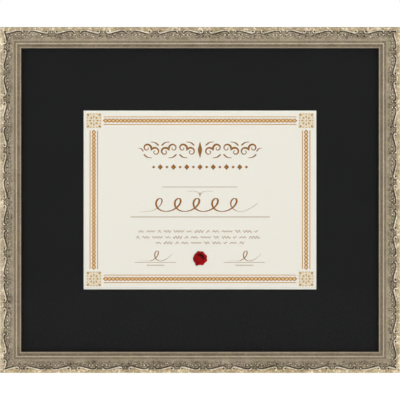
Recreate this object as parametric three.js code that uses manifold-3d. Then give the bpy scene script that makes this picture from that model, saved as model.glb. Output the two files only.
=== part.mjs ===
// Wall-hung picture frame: mitred gilded rails, glazing, mat, certificate and the hardware on the back.
// Millimetres, +Z up. The picture faces -Y and the wall is the plane y = 0.

import * as THREE from "three";
import { mergeVertices } from "three/addons/utils/BufferGeometryUtils.js";
import Module from "manifold-3d";

// Sheets in the rabbet, sized from the certificate outwards
const DOC_W = 279.4;
const DOC_H = 215.9;
const DOC_T = 0.25;
const DOC_OVERLAP = 4.1;
const MAT_MARGIN = 76.2;
const MAT_T = 1.4;
const MAT_BEVEL = 1.4;
const GLAZING_T = 2;
const TAPE_W = 25;
const TAPE_H = 30;
const TAPE_T = 0.15;
const TAPE_INSET = 45;
const TAPE_ON_DOC = 12;
const MOUNT_T = 4.8;
const BACKING_T = 3;
const LAYER_GAP = 0.1;
const SHEET_CLEARANCE = 0.55;
const BACK_RECESS = 0.2;

// Wax seal on the certificate
const SEAL_R = 7.5;
const SEAL_RIM_R = 5.4;
const SEAL_T = 1.2;
const SEAL_FLOOR_T = 0.5;
const SEAL_RISE = 39.2;
const SEAL_STEPS = 48;
// Lobes where the wax ran out: degrees from +X, and reach past the radius
const SEAL_LOBES = [
  [106, 1.2], [70, 1.1], [19, 0.9], [-19, 1.2], [-67, 1.1], [-119, 2.2], [-155, 0.7], [180, 0.7], [143, 0.4],
];
const SEAL_LOBE_SPREAD = 14;

// Rail section: widths run in from the outer edge, heights are above the rabbet ledge
const RAIL_W = 25;
const RABBET_W = 6.5;
const LIP_W = 2.2;
const GROOVE_W = 2.6;
const BEAD_R = 1.1;
const QUIRK_W = 1.4;
const COVE_W = 2.2;
const BAND_W = 2.4;
const EDGE_ROUND = 1.6;
const BAND_H = 8.4;
const COVE_H = 4.4;
const QUIRK_H = 2.8;
const BEAD_H = 2.9;
const GROOVE_H = 2.2;
const LIP_H = 3.6;
const LIP_EDGE_H = 2.6;
const MITRE_GAP = 0.2;

// Ornament strip laid on the sloping seat of each rail; the phase is where a shell stands nearest the middle
const STRIP_REPEAT = 60.6;
const STRIP_SEAT = 1.2;
const STRIP_EDGE_T = 0.7;
const STRIP_PHASE = { top: 7.4, bottom: 27, left: -2.1, right: -21.5 };
const RIDGE_W = 1.6;
const RIDGE_H = 1;
// Scroll over half a repeat: along from the shell to the flower, in from the outer edge, share of the rise
const SCROLL = [
  [0, 4.3, 0], [3.4, 4.4, 0], [4.2, 5.8, 1], [6.6, 7.25, 1], [11.2, 6.45, 1], [17.6, 4.5, 1], [22, 3.75, 1],
  [26.4, 4.9, 1], [27.4, 4.6, 0], [STRIP_REPEAT / 2, 4.3, 0],
];
// Petals of the shell and the flower: middle across, half sizes, and place and lean of the outer two
const SHELL = { across: 7.6, long: 2.1, wide: 0.75, rise: 1.1, spread: 2, lean: 32 };
const FLOWER = { across: 7.4, long: 1.9, wide: 0.7, rise: 0.9, spread: 1.8, lean: -18 };

// Turn buttons and screws
const BUTTON_T = 1;
const BUTTON_W = 10;
const BUTTON_REACH = 17;
const BUTTON_TAIL = 5.5;
const BUTTON_INSET = 90;
const BUTTON_HOLE_GAP = 0.35;
const SCREW_R = 1.5;
const SCREW_L = 11;
const SCREW_POINT = 3;
const HEAD_R = 3.2;
const HEAD_H = 1.8;
const PILOT_GAP = 0.3;
const SEAT_GAP = 0.1;

// Corner V-nails
const NAIL_T = 0.6;
const NAIL_WING = 5;
const NAIL_DEPTH = 9;
const NAIL_ANGLE = THREE.MathUtils.degToRad(40);
const NAIL_AT = [7, 15];
const NAIL_GAP = 0.3;

// Strap hangers with D-rings
const STRAP_W = 9;
const STRAP_T = 1;
const STRAP_L = 25;
const TAB_L = 8;
const STRAP_SCREW_DROP = 19;
const RING_WIRE_R = 1.2;
const RING_HALF_W = 7;
const RING_CORNER_R = 2;
const RING_STRAIGHT = 5.5;
const EYE_GAP = 0.3;
const HANGER_RISE = 75;

// Wall bumpers
const BUMPER_R = 6;
const BUMPER_T = 5.5;
const BUMPER_ROUND = 0.8;
const BUMPER_INSET = 40;

// Sizes that follow from the ones above
const SHEET_W = DOC_W + 2 * MAT_MARGIN;
const SHEET_H = DOC_H + 2 * MAT_MARGIN;
const OUTER_W = SHEET_W + 2 * (SHEET_CLEARANCE - RABBET_W + RAIL_W);
const OUTER_H = SHEET_H + 2 * (SHEET_CLEARANCE - RABBET_W + RAIL_W);
const LAND_W = RAIL_W - RABBET_W;
const RABBET_D = GLAZING_T + MAT_T + DOC_T + TAPE_T + MOUNT_T + BACKING_T + 6 * LAYER_GAP + BACK_RECESS;
const REAR_Y = -BUMPER_T;
const GLAZING_Y = REAR_Y - RABBET_D + LAYER_GAP;
const MAT_Y = GLAZING_Y + GLAZING_T + LAYER_GAP;
const DOC_Y = MAT_Y + MAT_T + LAYER_GAP;
const TAPE_Y = DOC_Y + DOC_T + LAYER_GAP;
const MOUNT_Y = TAPE_Y + TAPE_T + LAYER_GAP;
const BACKING_Y = MOUNT_Y + MOUNT_T + LAYER_GAP;
const LIP_AT = RAIL_W - LIP_W;
const BEAD_AT = LIP_AT - GROOVE_W - BEAD_R;
const QUIRK_AT = BEAD_AT - BEAD_R - QUIRK_W;
const STRIP_END = QUIRK_AT - COVE_W;
const EYE_R = RING_WIRE_R + EYE_GAP;

const EXTRUSION = { bevelEnabled: false, curveSegments: 5 };

// Finishes
const FINISHES = {
  gilt: { color: "#a5957c", roughness: 0.5, metalness: 0.25 },
  ornament: { color: "#b5a68e", roughness: 0.5, metalness: 0.25 },
  glazing: { color: "#eef2f2", roughness: 0.05, metalness: 0, transparent: true, opacity: 0.18 },
  mat: { color: "#202020", roughness: 0.95, metalness: 0 },
  paper: { color: "#ece8dc", roughness: 0.9, metalness: 0 },
  wax: { color: "#8f1a1e", roughness: 0.4, metalness: 0 },
  tape: { color: "#e4dcc6", roughness: 0.9, metalness: 0 },
  foam: { color: "#f1f0ec", roughness: 0.9, metalness: 0 },
  hardboard: { color: "#6b4a30", roughness: 0.85, metalness: 0 },
  steel: { color: "#b9bcc0", roughness: 0.35, metalness: 0.9 },
  rubber: { color: "#26262a", roughness: 0.9, metalness: 0 },
};
const materials = {};
for (const [finish, look] of Object.entries(FINISHES)) {
  materials[finish] = new THREE.MeshStandardMaterial(look);
}

const wasm = await Module();
wasm.setup();

function toSolid(geometry) {
  const bare = geometry.clone();
  bare.deleteAttribute("normal");
  bare.deleteAttribute("uv");
  const merged = mergeVertices(bare, 1e-4);
  return new wasm.Manifold(new wasm.Mesh({
    numProp: 3,
    vertProperties: new Float32Array(merged.attributes.position.array),
    triVerts: new Uint32Array(merged.index.array),
  }));
}

function toGeometry(solid) {
  const mesh = solid.getMesh();
  const geometry = new THREE.BufferGeometry();
  geometry.setAttribute("position", new THREE.BufferAttribute(mesh.vertProperties, 3));
  geometry.setIndex(new THREE.BufferAttribute(mesh.triVerts, 1));
  geometry.computeVertexNormals();
  return geometry;
}

function piece(name, geometry, finish) {
  const mesh = new THREE.Mesh(geometry, materials[finish]);
  mesh.name = name;
  return mesh;
}

// A sheet whose front face is at y = front, centred on the picture
function sheet(width, thickness, height, front) {
  return new THREE.BoxGeometry(width, thickness, height).translate(0, front + thickness / 2, 0);
}

// An outline drawn in x and z, given a thickness along +Y from y = 0
function plate(shape, thickness) {
  const solid = new THREE.ExtrudeGeometry(shape, { ...EXTRUSION, depth: thickness });
  return solid.rotateX(Math.PI / 2).translate(0, thickness, 0);
}

// A straight hole cutter along Y, from y = 0 down to the given depth and a little above
function holeCutter(radius, depth) {
  const over = 1;
  return new THREE.CylinderGeometry(radius, radius, depth + over, 12).translate(0, (over - depth) / 2, 0);
}

// A pan-head screw along Y with the underside of its head at y = 0
function screwGeometry() {
  const profile = [
    new THREE.Vector2(0, -SCREW_L),
    new THREE.Vector2(SCREW_R, SCREW_POINT - SCREW_L),
    new THREE.Vector2(SCREW_R, 0),
    new THREE.Vector2(HEAD_R, 0),
    new THREE.Vector2(HEAD_R, HEAD_H * 0.45),
    new THREE.Vector2(HEAD_R * 0.7, HEAD_H * 0.88),
    new THREE.Vector2(0, HEAD_H),
  ];
  return new THREE.LatheGeometry(profile, 12);
}

// The rail's section: x runs in from the outer edge, y is the height above the back
function railSection() {
  const front = (height) => RABBET_D + height;
  const section = new THREE.Shape();
  section.moveTo(0, 0);
  section.lineTo(LAND_W, 0);
  section.lineTo(LAND_W, RABBET_D);
  section.lineTo(RAIL_W, RABBET_D);
  section.lineTo(RAIL_W, front(LIP_EDGE_H));
  section.quadraticCurveTo(RAIL_W, front(LIP_H), LIP_AT + LIP_W / 2, front(LIP_H));
  section.quadraticCurveTo(LIP_AT, front(LIP_H), LIP_AT, front(LIP_EDGE_H));
  const grooveFloor = front(2 * GROOVE_H - LIP_EDGE_H);
  section.quadraticCurveTo(LIP_AT - GROOVE_W / 2, grooveFloor, BEAD_AT + BEAD_R, front(BEAD_H));
  section.absarc(BEAD_AT, front(BEAD_H), BEAD_R, 0, Math.PI, false);
  section.lineTo(BEAD_AT - BEAD_R, front(QUIRK_H));
  section.lineTo(QUIRK_AT, front(QUIRK_H));
  section.quadraticCurveTo(QUIRK_AT, front((QUIRK_H + COVE_H) / 2), STRIP_END, front(COVE_H));
  section.lineTo(STRIP_END, front(COVE_H - STRIP_EDGE_T));
  section.lineTo(BAND_W, front(BAND_H - STRIP_SEAT));
  section.lineTo(BAND_W, front(BAND_H));
  section.lineTo(EDGE_ROUND, front(BAND_H));
  section.quadraticCurveTo(0, front(BAND_H), 0, front(BAND_H - EDGE_ROUND));
  return section;
}

function seatHeight(across) {
  const share = (across - BAND_W) / (STRIP_END - BAND_W);
  return THREE.MathUtils.lerp(BAND_H - STRIP_SEAT, COVE_H - STRIP_EDGE_T, share);
}

// The strip's section at one place along the rail: a plain band, a raised ridge and the hollow inside it
function stripSection(ridge, share) {
  const outer = BAND_W + SEAT_GAP;
  const inner = STRIP_END - SEAT_GAP;
  const foot = ridge + RIDGE_W / 2;
  return [
    [outer, seatHeight(outer) + SEAT_GAP],
    [inner, seatHeight(inner) + SEAT_GAP],
    [inner, COVE_H],
    [foot, seatHeight(foot) + STRIP_EDGE_T],
    [ridge, BAND_H + share * RIDGE_H],
    [ridge - RIDGE_W / 2, BAND_H],
    [outer, BAND_H],
  ];
}

// Three petals fanned out in the hollow at one place along the rail, rooted half way into the strip
function petals({ across, long, wide, rise, spread, lean }, along, reach) {
  const slope = Math.atan2(seatHeight(BAND_W) - seatHeight(STRIP_END), STRIP_END - BAND_W);
  const ground = REAR_Y - RABBET_D - seatHeight(across) - STRIP_EDGE_T;
  return [-1, 0, 1].map((side) => {
    const petal = new THREE.SphereGeometry(1, 6, 4).scale(wide, rise, long);
    petal.rotateY(THREE.MathUtils.degToRad(-side * lean));
    const rooted = toSolid(petal).trimByPlane([0, -1, 0], -STRIP_EDGE_T / 2);
    const tilted = rooted.rotate([THREE.MathUtils.radToDeg(slope), 0, 0]);
    return tilted.translate([along + side * spread, ground, reach - across]);
  });
}

// The ornament strip of one side before its ends are mitred
function stripSolid(side, half, reach) {
  const sections = [];
  const bosses = [];
  const count = Math.ceil(half / STRIP_REPEAT) + 1;
  const onRail = (along) => Math.abs(along) < half - RAIL_W;
  for (let repeat = -count; repeat <= count; repeat += 1) {
    const shell = STRIP_PHASE[side] + repeat * STRIP_REPEAT;
    const flower = shell + STRIP_REPEAT / 2;
    const back = SCROLL.slice(1, -1).reverse().map(([along, ...rest]) => [-along, ...rest]);
    for (const [along, across, share] of [...back, ...SCROLL]) {
      const section = stripSection(across, share);
      sections.push(section.map(([w, h]) => [shell + along, REAR_Y - RABBET_D - h, reach - w]));
    }
    if (onRail(shell)) bosses.push(...petals(SHELL, shell, reach));
    if (onRail(flower)) bosses.push(...petals(FLOWER, flower, reach));
  }
  return wasm.Manifold.union([toSolid(loft(sections)), ...bosses]);
}

// Joins equal sections set out along the rail into one closed solid
function loft(sections) {
  const count = sections[0].length;
  const positions = sections.flat(2);
  const index = [];
  for (let row = 0; row + 1 < sections.length; row += 1) {
    for (let at = 0; at < count; at += 1) {
      const next = (at + 1) % count;
      const here = row * count;
      const ahead = here + count;
      index.push(here + at, ahead + next, here + next, here + at, ahead + at, ahead + next);
    }
  }
  const flat = sections[0].map(([, y, z]) => new THREE.Vector2(z, y));
  const last = (sections.length - 1) * count;
  for (const [a, b, c] of THREE.ShapeUtils.triangulateShape(flat, [])) {
    index.push(a, b, c, last + a, last + c, last + b);
  }
  const geometry = new THREE.BufferGeometry();
  geometry.setAttribute("position", new THREE.Float32BufferAttribute(positions, 3));
  geometry.setIndex(index);
  return geometry;
}

// Everything outside the two mitre planes of a rail is cut away with this block
function mitreBlock(half, reach) {
  const over = 5;
  const inset = MITRE_GAP / Math.SQRT2;
  const wide = half + over - inset;
  const narrow = half - RAIL_W - over - inset;
  const outline = new THREE.Shape([
    new THREE.Vector2(-wide, reach + over),
    new THREE.Vector2(-narrow, reach - RAIL_W - over),
    new THREE.Vector2(narrow, reach - RAIL_W - over),
    new THREE.Vector2(wide, reach + over),
  ]);
  const depth = RABBET_D + BAND_H + RIDGE_H + 2 * over;
  return toSolid(plate(outline, depth).translate(0, REAR_Y + over - depth, 0));
}

// The outline of a V-nail, apex towards the picture; grow widens it all round for its slot
function nailOutline(grow) {
  const side = Math.sin(NAIL_ANGLE);
  const along = Math.cos(NAIL_ANGLE);
  const thick = NAIL_T + 2 * grow;
  const wing = NAIL_WING + grow + grow / Math.tan(NAIL_ANGLE);
  const apex = -grow / side;
  const outerTip = [wing * side, apex + wing * along];
  const innerTip = [wing * side - thick * along, apex + wing * along + thick * side];
  return new THREE.Shape([
    new THREE.Vector2(0, apex),
    new THREE.Vector2(outerTip[0], outerTip[1]),
    new THREE.Vector2(innerTip[0], innerTip[1]),
    new THREE.Vector2(0, apex + thick / side),
    new THREE.Vector2(-innerTip[0], innerTip[1]),
    new THREE.Vector2(-outerTip[0], outerTip[1]),
  ]);
}

function nailSlot() {
  const depth = NAIL_DEPTH + NAIL_GAP;
  const over = 1;
  return plate(nailOutline(NAIL_GAP), depth + over).translate(0, REAR_Y - depth, 0);
}

// One side of the frame in its own frame: x along the rail, z outwards, turned into place about Y
function buildSide(side, length, span, turn, holes) {
  const half = length / 2;
  const reach = span / 2;
  const group = new THREE.Group();
  const block = mitreBlock(half, reach);
  const toRail = new THREE.Matrix4().makeBasis(
    new THREE.Vector3(0, 0, -1), new THREE.Vector3(0, -1, 0), new THREE.Vector3(-1, 0, 0));

  const bar = new THREE.ExtrudeGeometry(railSection(), { ...EXTRUSION, depth: length });
  bar.translate(0, 0, -half).applyMatrix4(toRail).translate(0, REAR_Y, reach);
  let rail = toSolid(bar).intersect(block);
  for (const end of [-1, 1]) {
    for (const at of NAIL_AT) {
      const slot = nailSlot().rotateY(end * Math.PI / 4).translate(end * (half - at), 0, reach - at);
      rail = rail.subtract(toSolid(slot));
    }
  }
  for (const hole of holes) {
    const pilot = holeCutter(SCREW_R + PILOT_GAP, SCREW_L + PILOT_GAP);
    rail = rail.subtract(toSolid(pilot.translate(hole, REAR_Y, reach - LAND_W / 2)));
  }
  group.add(piece(`${side}_rail`, toGeometry(rail), "gilt"));

  const strip = stripSolid(side, half, reach).intersect(block);
  group.add(piece(`${side}_ornament`, toGeometry(strip), "ornament"));

  const tail = BUTTON_TAIL - BUTTON_W / 2;
  const tip = BUTTON_W / 2 - BUTTON_REACH;
  const outline = new THREE.Shape();
  outline.absarc(0, tail, BUTTON_W / 2, 0, Math.PI, false);
  outline.absarc(0, tip, BUTTON_W / 2, Math.PI, 2 * Math.PI, false);
  const eye = new THREE.Path();
  eye.absarc(0, 0, SCREW_R + BUTTON_HOLE_GAP, 0, 2 * Math.PI, true);
  outline.holes.push(eye);
  [-1, 1].forEach((end, at) => {
    const button = piece(`turn_button_${side}_${at + 1}`, plate(outline, BUTTON_T), "steel");
    button.position.set(end * (half - BUTTON_INSET), REAR_Y + SEAT_GAP, reach - LAND_W / 2);
    const screw = piece(`turn_screw_${side}_${at + 1}`, screwGeometry(), "steel");
    screw.position.copy(button.position);
    screw.position.y += BUTTON_T + SEAT_GAP;
    group.add(button, screw);
  });
  group.rotation.y = turn;
  return group;
}

function buildCorner(name, x, z) {
  const group = new THREE.Group();
  NAIL_AT.forEach((at, number) => {
    const nail = piece(`v_nail_${name}_${number + 1}`, plate(nailOutline(0), NAIL_DEPTH), "steel");
    nail.position.set(0, REAR_Y - NAIL_DEPTH, -at * Math.SQRT2);
    group.add(nail);
  });
  group.position.set(x * OUTER_W / 2, 0, z * OUTER_H / 2);
  group.rotation.y = Math.atan2(x, z);
  return group;
}

function strapGeometry() {
  const eyeOuter = EYE_R + STRAP_T;
  const eyeY = SEAT_GAP + eyeOuter;
  const tail = new THREE.BoxGeometry(STRAP_W, STRAP_T, STRAP_L);
  tail.translate(0, SEAT_GAP + STRAP_T / 2, -STRAP_L / 2);
  const tab = new THREE.BoxGeometry(STRAP_W, 2 * STRAP_T, TAB_L);
  tab.translate(0, SEAT_GAP + STRAP_T, -TAB_L / 2);
  const barrel = (radius, length) =>
    new THREE.CylinderGeometry(radius, radius, length, 20).rotateZ(Math.PI / 2).translate(0, eyeY, 0);
  const eye = barrel(eyeOuter, STRAP_W);
  const bore = barrel(EYE_R, STRAP_W + 2 * STRAP_T);
  const through = STRAP_T + 2 * SEAT_GAP;
  const hole = holeCutter(SCREW_R + BUTTON_HOLE_GAP, through).translate(0, through, -STRAP_SCREW_DROP);
  let strap = toSolid(tail).add(toSolid(tab)).add(toSolid(eye));
  strap = strap.subtract(toSolid(bore)).subtract(toSolid(hole));
  return toGeometry(strap);
}

// The ring hangs below its straight bar, which runs along X through the origin
function ringGeometry() {
  const path = new THREE.Path();
  const bend = RING_HALF_W - RING_CORNER_R;
  path.moveTo(-bend, 0);
  path.lineTo(bend, 0);
  path.absarc(bend, -RING_CORNER_R, RING_CORNER_R, Math.PI / 2, 0, true);
  path.lineTo(RING_HALF_W, -RING_STRAIGHT);
  path.absarc(0, -RING_STRAIGHT, RING_HALF_W, 0, -Math.PI, true);
  path.lineTo(-RING_HALF_W, -RING_CORNER_R);
  path.absarc(-bend, -RING_CORNER_R, RING_CORNER_R, Math.PI, Math.PI / 2, true);
  const points = path.getSpacedPoints(40).slice(0, -1);
  const curve = new THREE.CatmullRomCurve3(points.map((p) => new THREE.Vector3(p.x, 0, p.y)), true);
  return new THREE.TubeGeometry(curve, 36, RING_WIRE_R, 8, true);
}

function buildHanger(name, x) {
  const group = new THREE.Group();
  const ring = piece(`d_ring_${name}`, ringGeometry(), "steel");
  ring.position.y = SEAT_GAP + STRAP_T + EYE_R;
  const screw = piece(`hanger_screw_${name}`, screwGeometry(), "steel");
  screw.position.set(0, STRAP_T + 2 * SEAT_GAP, -STRAP_SCREW_DROP);
  group.add(piece(`hanger_strap_${name}`, strapGeometry(), "steel"), ring, screw);
  group.position.set(x * (OUTER_W - LAND_W) / 2, REAR_Y, HANGER_RISE);
  return group;
}

function buildBumper(name, x) {
  const profile = [
    new THREE.Vector2(0, SEAT_GAP),
    new THREE.Vector2(BUMPER_R, SEAT_GAP),
    new THREE.Vector2(BUMPER_R, BUMPER_T - BUMPER_ROUND),
    new THREE.Vector2(BUMPER_R - BUMPER_ROUND, BUMPER_T),
    new THREE.Vector2(0, BUMPER_T),
  ];
  const bumper = piece(`bumper_${name}`, new THREE.LatheGeometry(profile, 24), "rubber");
  bumper.position.set(x * (OUTER_W / 2 - BUMPER_INSET), REAR_Y, (LAND_W - OUTER_H) / 2);
  return bumper;
}

function matGeometry() {
  const back = [DOC_W - 2 * DOC_OVERLAP, DOC_H - 2 * DOC_OVERLAP];
  const over = 1;
  const slope = MAT_BEVEL / MAT_T;
  const cutter = new THREE.BoxGeometry(1, 1, 1);
  const corners = cutter.attributes.position;
  for (let at = 0; at < corners.count; at += 1) {
    const isBack = corners.getY(at) > 0;
    const run = 2 * slope * (isBack ? -over : MAT_T + over);
    corners.setXYZ(at, corners.getX(at) * (back[0] + run), isBack ? MAT_T + over : -over,
      corners.getZ(at) * (back[1] + run));
  }
  cutter.translate(0, MAT_Y, 0);
  return toGeometry(toSolid(sheet(SHEET_W, MAT_T, SHEET_H, MAT_Y)).subtract(toSolid(cutter)));
}

// How far the wax runs out past the seal's radius in one direction
function sealRun(degrees) {
  return SEAL_LOBES.reduce((run, [at, reach]) => {
    const off = THREE.MathUtils.euclideanModulo(degrees - at + 180, 360) - 180;
    return run + reach * Math.exp(-((off / SEAL_LOBE_SPREAD) ** 2));
  }, 0);
}

// A pressed disc with a raised, lobed rim; its back lies on the certificate
function sealGeometry() {
  const profile = [
    new THREE.Vector2(0, 0),
    new THREE.Vector2(SEAL_R, 0),
    new THREE.Vector2(SEAL_R, SEAL_FLOOR_T),
    new THREE.Vector2((SEAL_R + SEAL_RIM_R) / 2, SEAL_T),
    new THREE.Vector2(SEAL_RIM_R, SEAL_T),
    new THREE.Vector2(SEAL_RIM_R, SEAL_FLOOR_T),
    new THREE.Vector2(0, SEAL_FLOOR_T),
  ];
  const seal = new THREE.LatheGeometry(profile, SEAL_STEPS).rotateX(Math.PI);
  const points = seal.attributes.position;
  for (let at = 0; at < points.count; at += 1) {
    const [x, z] = [points.getX(at), points.getZ(at)];
    const radius = Math.hypot(x, z);
    const share = Math.max(0, (radius - SEAL_RIM_R) / (SEAL_R - SEAL_RIM_R));
    const run = share * sealRun(THREE.MathUtils.radToDeg(Math.atan2(z, x)));
    const grown = radius > 0 ? 1 + run / radius : 1;
    points.setXYZ(at, x * grown, points.getY(at), z * grown);
  }
  return seal.translate(0, DOC_Y - LAYER_GAP, SEAL_RISE - DOC_H / 2);
}

const part = new THREE.Group();
part.name = "picture_frame";

const hangerHole = HANGER_RISE - STRAP_SCREW_DROP;
const buttonsAlong = (length) => [BUTTON_INSET - length / 2, length / 2 - BUTTON_INSET];
part.add(buildSide("top", OUTER_W, OUTER_H, 0, buttonsAlong(OUTER_W)));
part.add(buildSide("bottom", OUTER_W, OUTER_H, Math.PI, buttonsAlong(OUTER_W)));
part.add(buildSide("right", OUTER_H, OUTER_W, Math.PI / 2, [...buttonsAlong(OUTER_H), -hangerHole]));
part.add(buildSide("left", OUTER_H, OUTER_W, -Math.PI / 2, [...buttonsAlong(OUTER_H), hangerHole]));

for (const [row, z] of [["top", 1], ["bottom", -1]]) {
  for (const [column, x] of [["left", -1], ["right", 1]]) {
    part.add(buildCorner(`${row}_${column}`, x, z));
  }
}
for (const [name, x] of [["left", -1], ["right", 1]]) {
  part.add(buildHanger(name, x));
  part.add(buildBumper(name, x));
}

part.add(piece("glazing", sheet(SHEET_W, GLAZING_T, SHEET_H, GLAZING_Y), "glazing"));
part.add(piece("mat_board", matGeometry(), "mat"));
part.add(piece("certificate", sheet(DOC_W, DOC_T, DOC_H, DOC_Y), "paper"));
part.add(piece("wax_seal", sealGeometry(), "wax"));
[-1, 1].forEach((end, at) => {
  const tape = piece(`hinge_tape_${at + 1}`, sheet(TAPE_W, TAPE_T, TAPE_H, TAPE_Y), "tape");
  tape.position.set(end * (DOC_W / 2 - TAPE_INSET), 0, DOC_H / 2 - TAPE_ON_DOC + TAPE_H / 2);
  part.add(tape);
});
part.add(piece("mount_board", sheet(SHEET_W, MOUNT_T, SHEET_H, MOUNT_Y), "foam"));
part.add(piece("backing_board", sheet(SHEET_W, BACKING_T, SHEET_H, BACKING_Y), "hardboard"));

export default part;
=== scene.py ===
"""Dresses the picture frame: gilded rails and scrolls, mat, printed sheet, wax seal, glass and hardware."""

import math

import bmesh
import bpy
import numpy as np
from mathutils import Matrix, Vector


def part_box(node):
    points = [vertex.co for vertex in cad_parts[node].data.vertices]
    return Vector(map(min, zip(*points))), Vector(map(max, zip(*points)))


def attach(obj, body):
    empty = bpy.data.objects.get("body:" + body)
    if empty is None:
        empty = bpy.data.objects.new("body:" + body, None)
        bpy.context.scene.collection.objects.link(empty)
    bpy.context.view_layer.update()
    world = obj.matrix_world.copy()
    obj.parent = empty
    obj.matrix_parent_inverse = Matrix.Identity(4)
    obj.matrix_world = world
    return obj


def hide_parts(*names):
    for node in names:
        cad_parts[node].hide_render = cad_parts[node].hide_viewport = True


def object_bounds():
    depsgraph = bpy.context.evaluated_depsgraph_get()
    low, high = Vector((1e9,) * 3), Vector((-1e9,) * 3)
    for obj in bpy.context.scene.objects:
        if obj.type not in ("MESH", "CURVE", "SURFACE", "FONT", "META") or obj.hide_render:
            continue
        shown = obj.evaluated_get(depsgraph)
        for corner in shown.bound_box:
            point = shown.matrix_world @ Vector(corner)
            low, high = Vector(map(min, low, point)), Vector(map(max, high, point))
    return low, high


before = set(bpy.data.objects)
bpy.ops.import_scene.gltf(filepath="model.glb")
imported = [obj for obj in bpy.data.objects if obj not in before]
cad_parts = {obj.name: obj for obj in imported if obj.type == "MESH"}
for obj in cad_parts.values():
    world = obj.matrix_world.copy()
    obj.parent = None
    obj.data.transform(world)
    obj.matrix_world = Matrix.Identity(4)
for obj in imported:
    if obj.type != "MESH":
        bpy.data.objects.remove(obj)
cad_low, cad_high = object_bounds()

bl_info = {
    "name": "Gilded certificate frame",
    "version": (1, 0, 0),
    "blender": (4, 5, 0),
    "location": "View3D > Sidebar > Picture Frame",
    "description": "Builds the visible pieces of a wall-hung certificate frame",
    "category": "Add Mesh",
}

MM = 0.001
WELD = 1e-7
NEAR = 1e-6
BODY = "frame"

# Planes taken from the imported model
GLASS_GAP = 0.1
REAR_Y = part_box("top_rail")[1].y
LEDGE_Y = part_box("glazing")[0].y - GLASS_GAP * MM
PAPER_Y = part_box("certificate")[0].y
MAT_FRONT_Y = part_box("mat_board")[0].y
MAT_BACK_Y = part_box("mat_board")[1].y

# The four sides: name, turn about Y in degrees, and whether the side is a long one
SIDES = (("top", 0, True), ("right", 90, False), ("bottom", 180, True), ("left", -90, False))

# Rail members in mm: distance in from the outer edge, and height above the rabbet ledge
BAND_ACROSS = 2.4
STRIP_ACROSS = 14.4
QUIRK_ACROSS = 16.6
BEAD_ACROSS = 19.1
LIP_ACROSS = 22.8
BAND_HEIGHT = 8.4
COVE_HEIGHT = 4.4
QUIRK_HEIGHT = 2.8
BEAD_HEIGHT = 2.9
GROOVE_HEIGHT = 2.2
LIP_HEIGHT = 3.6
LIP_EDGE_HEIGHT = 2.6
SEAT_OUTER = 7.2
SEAT_INNER = 3.7
EDGE_ROUND = 1.6
ARRIS = 0.4
SIDE_FADE = 1.0
RAIL_OVERRUN = 10

# Steps along the curved members
ROUND_STEPS = 8
GROOVE_STEPS = 12
BEAD_STEPS = 16
COVE_STEPS = 10

# How light the gilding is on a rail: mm in from the outer edge, and 0 for dark wash to 1 for rubbed leaf.
# Besides wash and wear it holds painted shade in the quirk and the groove, painted shade at the sight edge,
# and a painted highlight on the bead's top
MEMBER_TONES = (
    (0.0, 0.6), (0.6, 0.72), (2.4, 0.72), (14.4, 0.48), (15.2, 0.52), (16.2, 0.44), (16.7, 0.29),
    (17.8, 0.33), (18.2, 0.48), (19.1, 0.82), (20.0, 0.44), (20.5, 0.29), (21.5, 0.2), (22.5, 0.29),
    (23.0, 0.46), (23.6, 0.64), (24.1, 0.38), (24.4, 0.12), (25.0, 0.02),
)

# How patchy the leaf is on the outer sides, the band and the plain members
SIDE_WEAR = 0.55
BAND_WEAR = 1.5
MEMBER_WEAR = 0.45

# Scroll ornament of half a repeat, in mm along from the shell and in from the outer edge
SCROLL_RIDGE = (
    (5.6, 3.95), (4.6, 4.0), (4.0, 4.7), (4.1, 5.8), (4.8, 6.65), (6.2, 6.95), (8.2, 6.8), (11.2, 6.05),
    (14.6, 5.15), (17.6, 4.35), (20.6, 3.85), (23.2, 3.75), (25.2, 4.1), (26.4, 4.85), (26.8, 5.8),
)
BAND_EDGE = (
    (0.0, 3.6), (3.0, 3.8), (4.4, 5.9), (6.2, 6.9), (8.2, 6.8), (11.2, 6.05), (14.6, 5.15), (17.6, 4.35),
    (20.6, 3.85), (23.2, 3.75), (25.6, 4.3), (27.2, 4.5), (30.3, 4.2),
)
RIDGE_SHARE = ((4.0, 1.0), (14.0, 0.95), (19.0, 0.5), (23.5, 0.4), (25.5, 0.95), (27.0, 0.95))
TRENCH = (
    (8.4, 8.1), (11.9, 7.3), (14.2, 6.5), (17.4, 5.5), (20.2, 4.95), (22.5, 4.85), (24.6, 5.4), (26.0, 6.5),
    (26.5, 7.3),
)
LEAVES = (
    ((18.4, 7.3), (20.2, 6.3), (22.5, 6.0), (24.4, 6.6), (25.1, 7.6)),
    ((20.6, 7.9), (22.0, 7.2), (23.8, 7.9)), ((11.6, 11.2), (13.2, 10.9), (15.2, 10.2), (16.8, 9.4)),
    ((12.0, 9.5), (13.2, 8.3), (15.4, 7.7)), ((15.0, 9.2), (16.4, 8.2), (17.6, 7.4)),
    ((17.6, 10.3), (19.4, 10.6), (21.0, 10.2)), ((23.4, 10.3), (25.0, 10.6), (26.8, 10.2)),
)
SHELL_PETALS = (
    ((0.5, 9.2), (1.6, 7.4), (2.8, 5.2)), ((0.0, 9.6), (0.0, 8.9), (0.0, 8.2)),
    ((1.2, 10.0), (2.4, 9.0), (3.5, 8.2)),
)
FLOWER_PETALS = (
    ((30.3, 5.2), (30.3, 7.0), (30.3, 8.9)), ((29.5, 5.4), (28.7, 7.0), (28.3, 8.8)),
    ((29.3, 9.6), (28.8, 10.4), (28.9, 11.2)),
)

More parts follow.
